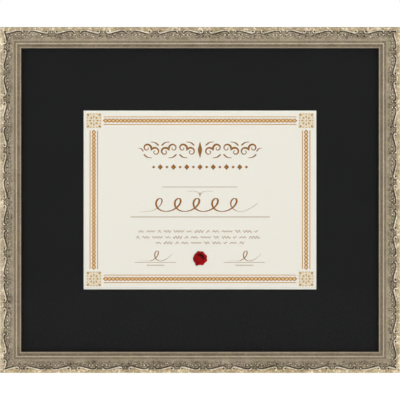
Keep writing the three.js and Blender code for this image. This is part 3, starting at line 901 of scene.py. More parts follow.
class FRAME_OT_rails(bpy.types.Operator):
    """Build the four mitred rails, gilded in front and bare behind"""

    bl_idname = "picture_frame.rails"
    bl_label = "Rails"

    def execute(self, context):
        sizes = context.scene.moulding_sizes
        wood = raw_wood_material()
        section = rail_section(sizes)
        overrun = RAIL_OVERRUN * MM
        for name, turn, is_long in SIDES:
            half, reach, matrix = side_frame(turn, is_long)
            outline = [(-half - overrun, LEDGE_Y - height * MM, reach - across * MM)
                       for across, height in section]
            bm = prism(outline, (2 * (half + overrun), 0, 0))
            for cut in mitre(bm, half, reach, sizes.mitre_gap):
                bmesh.ops.contextual_create(bm, geom=cut)
            bmesh.ops.recalc_face_normals(bm, faces=bm.faces)
            self.tone(bm, reach)
            self.bare(bm, reach - sizes.rail_width + sizes.rabbet_width)
            soften(bm, 32)
            bmesh.ops.transform(bm, matrix=matrix, verts=bm.verts)
            add_piece(bm, f"{name}_rail_gilded", (gilt(), wood), nodes=(f"{name}_rail",))
        return {"FINISHED"}

    def tone(self, bm, reach):
        """Notes on each point how the leaf lies there, with the painted shade and highlights of the member
        tones, and where it is on the rail.
        """
        tone, wear, warm, along, across = (
            bm.verts.layers.float.new(key) for key in ("tone", "wear", "warm", "along", "across"))
        side_y = LEDGE_Y - (BAND_HEIGHT - EDGE_ROUND - SIDE_FADE / 2) * MM
        for vert in bm.verts:
            inward = reach - vert.co.z
            on_band = inward < (BAND_ACROSS + 0.1) * MM
            on_side = on_band and vert.co.y > side_y
            # member tone: wash and wear, with painted shade in the grooves and at the sight edge and a
            # painted highlight on the bead
            vert[tone] = float(np.interp(inward / MM, *zip(*MEMBER_TONES)))
            vert[wear] = SIDE_WEAR if on_side else BAND_WEAR if on_band else MEMBER_WEAR
            vert[warm] = 1.0 if on_band else 0.0
            vert[along] = vert.co.x
            vert[across] = inward + vert.co.y

    def bare(self, bm, land_z):
        """Leaves the back and the rabbet as bare wood."""
        for face in bm.faces:
            middle = face.calc_center_median()
            is_back = middle.y > REAR_Y - 0.5 * MM
            in_rabbet = middle.z < land_z + NEAR and middle.y > LEDGE_Y - NEAR
            face.material_index = 1 if is_back or in_rabbet else 0


# Ornament

def stroke_rise(grid, path, radii, rise):
    """Height of a rounded stroke over the grid: a row of balls along the path."""
    height = np.zeros(grid.shape[:2])
    for place, radius in zip(path, radii):
        gap = ((grid - place) ** 2).sum(2)
        height = np.maximum(height, rise * np.sqrt(np.clip(1 - gap / radius ** 2, 0, 1)))
    return height


def mirrored(path, repeat):
    """A path and its two mirror images at the ends of half a repeat."""
    path = np.array(path)
    return path, path * (-1, 1), path * (-1, 1) + (repeat, 0)


def highest(grid, paths, repeat, radii, rise):
    """The highest of several strokes and of their mirror images."""
    height = np.zeros(grid.shape[:2])
    widths = np.interp(np.linspace(0, 1, STROKE_POINTS), (0, 0.6, 1), radii)
    for points in paths:
        for image in mirrored(catmull(points, STROKE_POINTS), repeat):
            height = np.maximum(height, stroke_rise(grid, image, widths, rise))
    return height


def smooth_step(values, low, high):
    """0 below a range, 1 above it and an even slope between."""
    share = np.clip((values - low) / (high - low), 0, 1)
    return share * share * (3 - 2 * share)


def blurred(height, reach):
    """Mean height of the ground round each place, mirrored at the ends of the half repeat."""
    padded = np.pad(np.pad(height, ((reach, reach), (0, 0)), "reflect"), ((0, 0), (reach, reach)), "edge")
    around = np.zeros_like(height)
    for i in range(2 * reach + 1):
        for j in range(2 * reach + 1):
            around += padded[i:i + height.shape[0], j:j + height.shape[1]]
    return around / (2 * reach + 1) ** 2


def seat_share(inward):
    """How far over a strip's seat a place lies, from 0 at the band to 1 at the cove."""
    return (inward - BAND_ACROSS) / (STRIP_ACROSS - BAND_ACROSS)


def seat_height(inward):
    """Height of the seat under a strip, in mm, at a distance in from the outer edge."""
    return SEAT_OUTER + (SEAT_INNER - SEAT_OUTER) * seat_share(inward)


def scroll_relief(sizes):
    """Places across, and over the half repeat: height above the ledge in mm, tone and warmth."""
    repeat = sizes.repeat / MM
    along = np.linspace(0, repeat / 2, sizes.steps + 1)
    rows = round((STRIP_ACROSS - BAND_ACROSS) / (along[1] - along[0])) + 1
    across = np.linspace(BAND_ACROSS - STRIP_LAP, STRIP_ACROSS + STRIP_LAP, rows)
    grid = np.stack(np.meshgrid(along, across, indexing="ij"), 2)
    inward = grid[..., 1]

    edge = np.interp(along, *zip(*BAND_EDGE))[:, None]
    fade = EDGE_FADE + SHELL_FADE * (1 - smooth_step(along, *SHELL_REACH))[:, None]
    inside = smooth_step(inward - edge + EDGE_FADE, np.zeros_like(fade), fade + EDGE_FADE)
    outside = 1 - inside
    seat = seat_height(inward)
    share = seat_share(inward)
    hollow = seat + HOLLOW_RISE - HOLLOW_DIP * share * (1 - share)
    relief = highest(grid, [spiral(*SMALL_VOLUTE)], repeat, VOLUTE_RADII, VOLUTE_RISE)
    for paths, radii, rise in RELIEF:
        relief = np.maximum(relief, highest(grid, paths, repeat, radii, rise))
    beads = np.zeros_like(relief)
    for *place, radius in BEADS:
        for image in mirrored([place], repeat):
            beads = np.maximum(beads, stroke_rise(grid, image, [radius], BEAD_RISE))
    pits = np.zeros_like(relief)
    for *place, radius, depth in PITS:
        for image in mirrored([place], repeat):
            gap = ((grid - image[0]) ** 2).sum(2)
            pits = np.maximum(pits, depth * np.exp(-gap / radius ** 2 * PIT_SHARPNESS))
    trench = highest(grid, [TRENCH], repeat, TRENCH_RADII, 1.0) * inside
    ground = hollow + np.maximum(relief, beads) - TRENCH_DEPTH * trench
    height = BAND_HEIGHT + BAND_SKIN + (ground - BAND_HEIGHT) * inside
    height = np.maximum(height - pits, seat + THINNEST)
    scroll = highest(grid, [SCROLL_RIDGE], repeat, RIDGE_RADII, 1.0)
    prominence = np.interp(along, *zip(*RIDGE_SHARE))[:, None]
    crest = BAND_HEIGHT - RIDGE_FOOT + (sizes.ridge_height / MM * prominence + RIDGE_FOOT) * scroll
    height = np.where(scroll > 0, np.maximum(height, crest), height)

    # painted light and shade in the tone: the hollow darker, painted shadow in the trench and the pits,
    # painted highlights on the ridge and the beads
    tone = BAND_TONE - HOLLOW_SHADE * inside + COVE_LIGHT * smooth_step(inward, *COVE_REACH)
    tone -= outside * BAND_SHADE * smooth_step(grid[..., 0], *BAND_REACH)
    tone -= outside * EDGE_SHADE * smooth_step(inward, *EDGE_REACH)
    tone += (RIDGE_LIGHT * prominence - RIDGE_SHADE) * scroll + BEAD_LIGHT * beads
    tone -= TRENCH_SHADE * trench + PIT_SHADE * pits
    # painted shade in the low places and painted highlight on the high ones, from the height against the
    # mean around it
    tone = np.clip(tone + HEIGHT_LIGHT * (height - blurred(height, HEIGHT_REACH)), *TONE_LIMITS)
    warm = outside * (1 - np.minimum(scroll * RIDGE_COOL, 1))
    return across, height, tone, warm


class FRAME_OT_ornament(bpy.types.Operator):
    """Build the four moulded scroll strips"""

    bl_idname = "picture_frame.ornament"
    bl_label = "Scroll ornament"

    def execute(self, context):
        sizes = context.scene.ornament_sizes
        gap = context.scene.moulding_sizes.mitre_gap
        relief = scroll_relief(sizes)
        for name, turn, is_long in SIDES:
            half, reach, matrix = side_frame(turn, is_long)
            bm = self.field(sizes, relief, half, reach, getattr(sizes, f"{name}_start"))
            mitre(bm, half, reach, gap)
            rim = [edge for edge in bm.edges if edge.is_boundary]
            skirt = bmesh.ops.extrude_edge_only(bm, edges=rim)["geom"]
            for vert in verts_in(skirt):
                vert.co.y = LEDGE_Y - (seat_height((reach - vert.co.z) / MM) + STRIP_LAP) * MM
            bmesh.ops.edgeloop_fill(bm, edges=[edge for edge in edges_in(skirt) if edge.is_boundary])
            bmesh.ops.recalc_face_normals(bm, faces=bm.faces)
            soften(bm, 75)
            bmesh.ops.transform(bm, matrix=matrix, verts=bm.verts)
            add_piece(bm, f"{name}_scroll_strip", (gilt(),), nodes=(f"{name}_ornament",))
        return {"FINISHED"}

    def field(self, sizes, relief, half, reach, start):
        """The carved face of a strip, with the half repeat turned to and fro along it."""
        places, height, tones, warmth = relief
        step = sizes.repeat / 2 / sizes.steps
        cycle = 2 * sizes.steps
        rows = len(places) - 1
        first = math.floor((-half - start) / step) - 2
        columns = math.ceil(2 * half / step) + 4
        bm = bmesh.new()
        bmesh.ops.create_grid(bm, x_segments=columns, y_segments=rows, size=1.0)
        tone, wear, warm = (bm.verts.layers.float.new(key) for key in ("tone", "wear", "warm"))
        for vert in bm.verts:
            column = first + round((vert.co.x + 1) / 2 * columns)
            row = round((vert.co.y + 1) / 2 * rows)
            turned = min(column % cycle, cycle - column % cycle)
            vert[tone] = tones[turned, row]
            vert[warm] = warmth[turned, row]
            vert[wear] = STRIP_WEAR + STRIP_BAND_WEAR * warmth[turned, row]
            vert.co = (start + column * step, LEDGE_Y - height[turned, row] * MM, reach - places[row] * MM)
        return bm


# Mat, sheet and print

class FRAME_OT_mat(bpy.types.Operator):
    """Build the black mat with its bevelled window"""

    bl_idname = "picture_frame.mat"
    bl_label = "Mat"

    def execute(self, context):
        sizes = context.scene.sheet_sizes
        low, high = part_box("mat_board")
        face = context.scene.frame_colours.mat
        black = fibre_material(
            "mat_black", [part * 0.8 for part in face], [part * 1.2 for part in face], 1400, 0.9, 0.00004)
        core = listed_fibre("mat_core")
        to_back = (0, MAT_BACK_Y - MAT_FRONT_Y, 0)
        bm = bmesh.new()
        upright = Matrix.Rotation(math.pi / 2, 4, "X")
        bmesh.ops.create_grid(bm, x_segments=1, y_segments=1, size=0.5, matrix=upright)
        bmesh.ops.scale(bm, vec=(high.x - low.x, 1, high.z - low.z), verts=bm.verts)
        bmesh.ops.translate(bm, vec=(0, MAT_FRONT_Y, 0), verts=bm.verts)
        panel = bm.faces[:]
        border = (high.x - low.x - sizes.window_width) / 2
        bmesh.ops.inset_region(bm, faces=panel, thickness=border, use_even_offset=True, use_boundary=True)
        cut = bmesh.ops.inset_region(bm, faces=panel, thickness=sizes.bevel, use_even_offset=True)
        for side in cut["faces"]:
            side.material_index = 1
        bmesh.ops.translate(bm, vec=to_back, verts=panel[0].verts)
        window = panel[0].edges[:]
        bmesh.ops.delete(bm, geom=panel, context="FACES_ONLY")
        rim = [edge for edge in bm.edges if edge.is_boundary and edge not in window]
        sides = bmesh.ops.extrude_edge_only(bm, edges=rim)["geom"]
        bmesh.ops.translate(bm, vec=to_back, verts=verts_in(sides))
        outer = [edge for edge in edges_in(sides) if edge.is_boundary]
        bmesh.ops.bridge_loops(bm, edges=outer + window)
        bmesh.ops.recalc_face_normals(bm, faces=bm.faces)
        add_piece(bm, "mat_bevelled", (black, core), nodes=("mat_board",))
        return {"FINISHED"}


def stroke_mesh(name, strokes, lift):
    """Raised ink strokes from lists of (x, z, half width) in mm, each a closed body of its own."""
    paths = [[(x, number * STROKE_STEP, z, half_width) for x, z, half_width in stroke]
             for number, stroke in enumerate(strokes)]
    widest = [max(half_width for _, _, half_width in stroke) for stroke in strokes]
    mesh = wire_mesh(name, paths, MM, 1)
    bm = bmesh.new()
    bm.from_mesh(mesh)
    bmesh.ops.remove_doubles(bm, verts=bm.verts, dist=STROKE_WELD * MM)
    for vert in bm.verts:
        height = vert.co.y / MM
        number = round(height / STROKE_STEP)
        vert.co.y = PAPER_Y + lift * (height - number * STROKE_STEP) / widest[number]
    bmesh.ops.recalc_face_normals(bm, faces=bm.faces)
    bm.to_mesh(mesh)
    bm.free()
    return mesh


def tint_mesh(name, blocks, lift):
    """Flat printed blocks, each as its centre and its half sizes."""
    bm = bmesh.new()
    for x, z, half_x, half_z in blocks:
        place = Matrix.Translation((x * MM, PAPER_Y - lift / 2, z * MM))
        shape = Matrix.Diagonal((2 * half_x * MM, lift, 2 * half_z * MM, 1))
        bmesh.ops.create_cube(bm, size=1.0, matrix=place @ shape)
    return to_mesh(bm, name)


def wave(start, end, across, period, swing, phase, half_width):
    """A running wave stroke between two places along x."""
    places = np.linspace(start, end, max(int(abs(end - start) / period * 12), 4))
    sway = across + swing * np.sin(math.tau * (places - start) / period + phase)
    return [(x, z, half_width) for x, z in zip(places, sway)]


def penned(points, count, thin, thick):
    """A pen stroke through points, thick where it runs down and thin at its ends."""
    path = catmull(points, count)
    steps = np.gradient(path, axis=0)
    steep = np.abs(steps[:, 1]) / (np.hypot(steps[:, 0], steps[:, 1]) + 1e-9)
    ends = np.clip(np.minimum(np.arange(count), np.arange(count)[::-1]) / (0.12 * count), 0.25, 1)
    return [(x, z, (thin + (thick - thin) * s) * e) for (x, z), s, e in zip(path, steep, ends)]


def both_ways(strokes):
    """Strokes with their mirror images left and right."""
    return strokes + [[(-x, z, half) for x, z, half in stroke] for stroke in strokes]


def lozenge(x, z, half_x, half_z):
    """A small solid diamond as one thick stroke."""
    return [(x - half_x, z, 0.05), (x, z, half_z), (x + half_x, z, 0.05)]


def leaf(x, z, turn, inner, outer, half_width):
    """A pointed leaf that lies along a spoke of a rosette, between two radii."""
    stroke = []
    for share in np.linspace(0, 1, 7):
        away = inner + (outer - inner) * share
        width = 0.1 + half_width * math.sin(math.pi * share)
        stroke.append((x + away * math.cos(turn), z + away * math.sin(turn), width))
    return stroke


def s_scroll(x, z, radius, lean, turns, thin, thick):
    """A double volute: two spirals that turn opposite ways and meet in the middle."""
    eye = 0.2 * radius
    shift_x, shift_z = radius * math.cos(lean), radius * math.sin(lean)
    first = spiral(x - shift_x, z - shift_z, radius, eye, turns, lean)
    second = spiral(x + shift_x, z + shift_z, radius, eye, -turns, lean + math.pi)
    path = first[::-1] + second[1:]
    middle = len(first)
    return [(px, pz, thin + (thick - thin) * math.exp(-((at - middle) / (0.45 * middle)) ** 2))
            for at, (px, pz) in enumerate(path)]


def border_strips():
    """Half length, place and stance of the border strips, which stop short of the corner tiles."""
    shorter = CORNER_HALF + CORNER_GAP
    return (BORDER_X - shorter, BORDER_Z, False), (BORDER_Z - shorter, BORDER_X, True)


def laid(stroke, upright):
    """A stroke along a border strip, stood up where the strip is upright, at the height of the border."""
    if upright:
        stroke = [(z, x, half_width) for x, z, half_width in stroke]
    return [(x, z + BORDER_RISE, half_width) for x, z, half_width in stroke]


def border_lines():
    """The plain lines on both sides of the braid."""
    lines = []
    for run, place, upright in border_strips():
        for offset in (BORDER_LINE_OUT, -BORDER_LINE_IN):
            for across in (-place - offset, place + offset):
                lines.append(laid([(end, across, BORDER_LINE_HALF) for end in (-run, run)], upright))
    return lines


def border_braid(half_width):
    """The two strands that cross along each border strip, with whole eyes from end to end."""
    braid = []
    for run, place, upright in border_strips():
        period = 4 * run / round(4 * run / BRAID_PERIOD)
        for across in (-place, place):
            for phase in (0, math.pi):
                braid.append(laid(wave(-run, run, across, period, BRAID_SWING, phase, half_width), upright))
    return braid


def braid_knots():
    """A dark spot on each crossing of the strands."""
    knots = []
    for run, place, upright in border_strips():
        for along in np.linspace(-run, run, round(4 * run / BRAID_PERIOD) + 1):
            for across in (-place, place):
                knots.append(laid(lozenge(along, across, *KNOT), upright))
    return knots


def strip_blocks():
    """The tinted ground under each braid."""
    (run_x, place_z, _), (run_z, place_x, _) = border_strips()
    lying = [(0, BORDER_RISE + sign * place_z, run_x, BRAID_HALF) for sign in (-1, 1)]
    return lying + [(sign * place_x, BORDER_RISE, BRAID_HALF, run_z) for sign in (-1, 1)]


def corner_places():
    """The middles of the four corner tiles."""
    return [(x * BORDER_X, BORDER_RISE + z * BORDER_Z) for x in (-1, 1) for z in (-1, 1)]


def tile_blocks():
    """The tinted ground of each corner tile."""
    return [(x, z, CORNER_HALF, CORNER_HALF) for x, z in corner_places()]


def corner_strokes():
    """A rosette on each corner tile, with a leaf in each corner and lozenges along the sides."""
    strokes = []
    for x, z in corner_places():
        strokes.append(lozenge(x, z, *TILE_EYE))
        strokes += [leaf(x, z, turn * math.tau / TILE_PETALS, *TILE_PETAL) for turn in range(TILE_PETALS)]
        strokes += [leaf(x, z, (turn + 0.5) * math.pi / 2, *TILE_LEAF) for turn in range(4)]
        for side in (-TILE_SIDE, TILE_SIDE):
            for along in (-TILE_STEP, 0, TILE_STEP):
                strokes.append(lozenge(x + along, z + side, *TILE_LOZENGE))
                strokes.append(lozenge(x + side, z + along, *TILE_LOZENGE[::-1]))
    return strokes


def heading_strokes():
    """A running frieze of double volutes with leaves, and a row of lozenges under it."""
    half = []
    for number, x in enumerate(HEADING_PLACES):
        up = 1 if number % 2 == 0 else -1
        half.append(s_scroll(x, HEADING_Z, HEADING_R, up * HEADING_LEAN, HEADING_TURNS, *HEADING_PEN))
        for way in (-1, 1):
            spray = [(x + way * along, HEADING_Z - way * up * drop) for along, drop in SPRAY]
            half.append(penned(spray, 16, *SPRAY_PEN))
    half.append(penned([(x, HEADING_Z + rise) for x, rise in CURL], 14, *CURL_PEN))
    strokes = both_ways(half)
    strokes.append([(0, HEADING_Z + rise, width) for rise, width in SPINDLE])
    for place in range(-ROW_EACH_WAY, ROW_EACH_WAY + 1):
        strokes.append(lozenge(place * ROW_PITCH, ROW_Z, *ROW_LOZENGES[place % 2]))
    return strokes


def body_strokes():
    """Dotted line, fleuron, rules and fine running lines of the lower half."""
    fine = []
    for place in np.arange(-DOT_X, DOT_X + 0.1, DOT_PITCH):
        fine.append([(place + end * DOT_LENGTH / 2, DOT_Z, DOT_HALF) for end in (-1, 1)])
    fine += both_ways([penned(FLEURON, 18, *FLEURON_PEN)])
    fine.append(list(FLEURON_DROP))
    fine.append([(end * RULE_X, RULE_Z, RULE_HALF) for end in (-1, 1)])
    for z, place, right, count in FINE_ROWS:
        while place < right - FINE_SHORTEST:
            span = FINE_SPAN[0] + (count * 7 % 5) * FINE_SPAN[1]
            swing = FINE_SWING[0] + (count * 3 % 4) * FINE_SWING[1]
            fine.append(wave(place, min(place + span, right), z, FINE_PERIOD, swing, count, FINE_HALF))
            place += span + FINE_GAP
            count += 1
    for sign in (-1, 1):
        fine.append([(sign * end, SIGN_RULE_Z, SIGN_RULE_HALF) for end in SIGN_RULE])
        start, end = (sign * place for place in SIGN_WAVE)
        fine.append(wave(start, end, SIGN_WAVE_Z, SIGN_WAVE_PERIOD, SIGN_WAVE_SWING, 0, SIGN_WAVE_HALF))
    return fine


def pen_loops(start, count, pitch, low, high, swing):
    """Points of a row of pen loops that lean to the right, twelve to a loop."""
    turns = np.linspace(0, count * math.tau, 12 * count + 1)
    heights = (low + high) / 2 - (high - low) / 2 * np.cos(turns)
    places = start + pitch * turns / math.tau + swing * np.sin(turns) + PEN_LEAN * (heights - low)
    return list(zip(places, heights))


def flourish_strokes():
    """The long looped pen flourish over the rule, and one over each short rule."""
    long_row = [LONG_ENDS[0], *pen_loops(*LONG_LOOPS), *LONG_ENDS[1:]]
    short_row = [SHORT_ENDS[0], *pen_loops(*SHORT_LOOPS), *SHORT_ENDS[1:]]
    strokes = [penned(long_row, 300, *LONG_PEN)]
    for sign in (-1, 1):
        moved = [(sign * SIGN_X + x, SIGN_RULE_Z + SIGN_RISE + z) for x, z in short_row]
        strokes.append(penned(moved, 80, *SHORT_PEN))
    return strokes


class FRAME_OT_print(bpy.types.Operator):
    """Dress the paper and print its border, ornaments and flourishes"""

    bl_idname = "picture_frame.print"
    bl_label = "Printed sheet"

    def execute(self, context):
        paper = context.scene.frame_colours.paper
        lift = context.scene.sheet_sizes.ink_lift
        dress_node("certificate", fibre_material(
            "certificate_stock", [part * 0.985 for part in paper], [min(part * 1.012, 1) for part in paper],
            700, 0.85, 0.00003))
        inks = {name: ink_material(name, cover) for name, cover in INK_COVER.items()}
        tints = (("braid_tint", "straw_tint", strip_blocks()), ("corner_tint", "peach_tint", tile_blocks()))
        for name, ink, blocks in tints:
            place_mesh(tint_mesh(name, blocks, lift * TINT_LIFT), name, (inks[ink],))
        printing = (
            ("border_lines", "gold_ink", 1.0, border_lines()),
            ("braid_edges", "umber_ink", 0.8, border_braid(BRAID_EDGE)),
            ("border_braid", "amber_ink", 1.2, border_braid(BRAID_STRAND)),
            ("braid_knots", "umber_ink", 1.6, braid_knots()),
            ("corner_lace", "lace_ink", 1.0, corner_strokes()),
            ("heading_ornament", "brown_ink", 1.0, heading_strokes()),
            ("body_lines", "tan_ink", 1.0, body_strokes()),
            ("pen_flourishes", "brown_ink", 1.0, flourish_strokes()),
        )
        for name, ink, layer, strokes in printing:
            place_mesh(stroke_mesh(name, strokes, lift * layer), name, (inks[ink],))
        return {"FINISHED"}


class FRAME_OT_seal(bpy.types.Operator):
    """Build the pressed wax seal with its uneven rim"""

    bl_idname = "picture_frame.seal"
    bl_label = "Wax seal"

    def execute(self, context):
        low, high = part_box("wax_seal")
        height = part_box("certificate")[0].z + SEAL_FROM_EDGE * MM
        profile = [(0, 0), *((SEAL_R + out, rise) for out, rise in SEAL_RIM)]
        profile += [(SEAL_FLOOR_R + out, rise) for out, rise in SEAL_STEP]
        profile += [(radius, SEAL_FLOOR) for radius in np.linspace(SEAL_FLOOR_R - 0.5, 0, 10)]
        bm = spin_profile([(radius * MM, -rise * MM) for radius, rise in profile], SEAL_SEGMENTS)
        fold = bm.verts.layers.float.new("fold")
        for vert in bm.verts:
            radius = math.hypot(vert.co.x, vert.co.z) / MM
            angle = math.atan2(vert.co.z, vert.co.x)
            # painted shade: the rim's shadow on the floor and the shaded side of the rim
            vert[fold] = self.fold(radius, angle)
            share = max(0.0, (radius - SEAL_FLOOR_R) / (SEAL_R - SEAL_FLOOR_R))
            is_front = vert.co.y < -0.2 * MM
            grow = 1 + share * self.run(math.degrees(angle)) / max(radius, 1)
            vert.co.x *= grow
            vert.co.z *= grow
            if is_front:
                vert.co.y -= self.swell(radius, angle, share) * MM
        bmesh.ops.translate(bm, verts=bm.verts, vec=((low.x + high.x) / 2, PAPER_Y, height))
        soften(bm, 80)
        add_piece(bm, "pressed_seal", (wax_material(),), nodes=("wax_seal",))
        return {"FINISHED"}

    def run(self, degrees):
        """How far the wax ran out past the valley radius in a direction, in mm."""
        run = 0.0
        for place, reach in SEAL_LOBES:
            off = (degrees - place + 180) % 360 - 180
            run += reach * math.exp(-(off / SEAL_LOBE_SPREAD) ** 2)
        return run

    def swell(self, radius, angle, share):
        """Relief of the front: a rosette pressed in the floor, and an uneven rim."""
        if share <= 0:
            ring = math.exp(-((radius - SEAL_PETAL_AT) / SEAL_PETAL_SPREAD) ** 2)
            eye = math.exp(-(radius / SEAL_EYE_R) ** 2)
            return SEAL_PRESS * (max(0.0, math.cos(angle * SEAL_PETALS)) * ring + eye)
        return SEAL_UNEVEN * share * (math.sin(3 * angle + 0.6) + math.sin(5 * angle + 2))

    def fold(self, radius, angle):
        """Painted shade on the wax: a painted shadow of the rim, deepest in the upper right of the pressed
        floor, and painted shade on one side of the rim, which is lightest.
        """
        if radius < SEAL_FLOOR_R + 0.3:
            turned = max(0.0, math.cos(angle - SEAL_DARK_TURN))
            crescent = turned ** 1.1 * min(1.0, max(0.0, radius - 0.8) / 2.4)
            return SEAL_FLOOR_TONE + (1 - SEAL_FLOOR_TONE) * crescent
        edge = SEAL_EDGE_TONE * max(0.0, (radius - SEAL_R + 0.5) / 0.5)
        lobes = SEAL_LOBE_TONE * math.sin(6 * angle + 0.5)
        side = SEAL_SIDE_TONE * math.cos(angle + SEAL_SIDE_TURN)
        return max(0.0, SEAL_RIM_TONE - side + edge + lobes)


class FRAME_OT_backing(bpy.types.Operator):
    """Finish the glass, the boards and the tapes"""

    bl_idname = "picture_frame.backing"
    bl_label = "Glass and boards"

    def execute(self, context):
        dress_node("glazing", glass_material())
        dress_node("backing_board", listed_fibre("brown_hardboard"))
        dress_node("mount_board", listed_fibre("foam_core"))
        tape = listed_fibre("linen_tape")
        for number in (1, 2):
            dress_node(f"hinge_tape_{number}", tape)
        return {"FINISHED"}


# Hardware on the back

class FRAME_OT_nails(bpy.types.Operator):
    """Build the V-nails across the mitres, driven almost flush"""

    bl_idname = "picture_frame.nails"
    bl_label = "V-nails"

    def execute(self, context):
        sizes = context.scene.hardware_sizes
        thick, wing = sizes.nail_thickness, sizes.nail_wing
        aside, along = math.sin(sizes.nail_angle), math.cos(sizes.nail_angle)
        tip = (wing * aside, wing * along)
        half = [(0, 0), tip, (tip[0] - thick * along, tip[1] + thick * aside), (0, thick / aside)]
        section = half + [(-v, u) for v, u in half[2:0:-1]]
        for name in [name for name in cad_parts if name.startswith("v_nail")]:
            low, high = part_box(name)
            way_x, way_z = math.copysign(1, low.x), math.copysign(1, low.z)
            apex_x, apex_z = min(low.x, high.x, key=abs), min(low.z, high.z, key=abs)
            outline = [(apex_x + way_x * (u + v) * DIAGONAL, low.y, apex_z + way_z * (u - v) * DIAGONAL)
                       for v, u in section]
            bm = prism(outline, (0, high.y - low.y + NAIL_PROUD * MM, 0))
            add_piece(bm, f"{name}_driven", (steel(),), nodes=(name,))
        return {"FINISHED"}


def cross_cutter():
    """The tapered cross that is sunk in a screw's head."""
    outline = []
    for turn in range(4):
        for x, z in ((CROSS_WAIST, CROSS_WAIST), (CROSS_ARM, CROSS_WAIST), (CROSS_ARM, -CROSS_WAIST)):
            for _ in range(turn):
                x, z = z, -x
            outline.append((x * MM, CROSS_TOP * MM, z * MM))
    bm = prism(outline, (0, -CROSS_DEPTH * MM, 0))
    deep = [vert for vert in bm.verts if vert.co.y < (CROSS_TOP - CROSS_DEPTH / 2) * MM]
    bmesh.ops.scale(bm, vec=(CROSS_TAPER, 1, CROSS_TAPER), verts=deep)
    return link_object("cross", to_mesh(bm, "cross"))


def screw_mesh():
    """A pan-head screw with a cross recess, its head's underside at y = 0."""
    tip_r, tip_length = SCREW_TIP
    chamfer_in, chamfer_up = HEAD_CHAMFER
    profile = [(0, -SCREW_LENGTH), (tip_r, tip_length - SCREW_LENGTH), (SCREW_R, SCREW_POINT - SCREW_LENGTH),
               (SCREW_R, 0), (HEAD_R - chamfer_in, 0), (HEAD_R, chamfer_up), (HEAD_R, HEAD_EDGE)]
    profile += [(HEAD_R * math.cos(a), HEAD_EDGE + (HEAD_HEIGHT - HEAD_EDGE) * math.sin(a))
                for a in np.linspace(0.15, math.pi / 2 - 0.05, 9)]
    profile.append((0, HEAD_HEIGHT))
    bm = spin_profile([(radius * MM, y * MM) for radius, y in profile], SCREW_SEGMENTS)
    soften(bm, 30)
    screw = link_object("screw", to_mesh(bm, "screw"))
    cutter = cross_cutter()
    cut = screw.modifiers.new("recess", "BOOLEAN")
    cut.object = cutter
    cut.operation = "DIFFERENCE"
    cut.solver = "EXACT"
    mesh = finished_mesh(screw)
    bpy.data.objects.remove(cutter)
    return mesh


class FRAME_OT_screws(bpy.types.Operator):
    """Build the screws of the turn buttons and hangers"""

    bl_idname = "picture_frame.screws"
    bl_label = "Screws"

    def execute(self, context):
        plain = screw_mesh()
        names = [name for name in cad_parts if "_screw_" in name]
        for number, name in enumerate(sorted(names)):
            low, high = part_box(name)
            turn = math.radians(FIRST_SCREW_TURN + NEXT_SCREW_TURN * number)
            place = ((low.x + high.x) / 2, high.y - HEAD_HEIGHT * MM, (low.z + high.z) / 2)
            mesh = plain.copy()
            mesh.transform(Matrix.Translation(place) @ Matrix.Rotation(turn, 4, "Y"))
            place_mesh(mesh, f"{name}_cross", (steel(),), nodes=(name,))
        bpy.data.meshes.remove(plain)
        return {"FINISHED"}


class FRAME_OT_buttons(bpy.types.Operator):
    """Build the turn buttons that hold the backing"""

    bl_idname = "picture_frame.buttons"
    bl_label = "Turn buttons"

    def execute(self, context):
        sizes = context.scene.hardware_sizes
        for side, turn, _ in SIDES:
            for number in (1, 2):
                name = f"turn_button_{side}_{number}"
                low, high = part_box(name)
                pivot = self.pivot(name)
                bm = self.plate(sizes, high.y - low.y)
                bmesh.ops.transform(bm, matrix=Matrix.Rotation(math.radians(turn), 4, "Y"), verts=bm.verts)
                bmesh.ops.translate(bm, verts=bm.verts, vec=(pivot.x, low.y, pivot.z))
                add_piece(bm, f"{name}_pressed", (steel(),), body=f"button_{side}_{number}", nodes=(name,))
        return {"FINISHED"}

    def pivot(self, name):
        """Where the button's screw stands."""
        low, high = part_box(name.replace("turn_button", "turn_screw"))
        return (low + high) / 2

    def plate(self, sizes, thick):
        """A pressed plate with round ends and a hole, that points down from its screw."""
        half_width = sizes.button_width / 2
        upright = Matrix.Rotation(math.pi / 2, 4, "X")
        bm = bmesh.new()
        rim = bmesh.ops.create_circle(bm, segments=BUTTON_SEGMENTS, radius=half_width, matrix=upright)
        for vert in rim["verts"]:
            points_down = vert.co.z < NEAR
            vert.co.z += half_width - sizes.button_reach if points_down else sizes.button_tail - half_width
        bmesh.ops.create_circle(bm, segments=BUTTON_SEGMENTS, radius=BUTTON_HOLE_R * MM, matrix=upright)
        bmesh.ops.bridge_loops(bm, edges=bm.edges[:])
        top = verts_in(bmesh.ops.extrude_face_region(bm, geom=bm.faces[:])["geom"])
        bmesh.ops.translate(bm, verts=top, vec=(0, thick, 0))
        bmesh.ops.recalc_face_normals(bm, faces=bm.faces)
        sharp = [edge for edge in bm.edges if edge.calc_face_angle(0) > math.radians(60)]
        bmesh.ops.bevel(bm, geom=sharp, offset=BUTTON_EDGE * MM, segments=3, profile=0.5, affect="EDGES",
                        material=-1)
        soften(bm, 40)
        return bm


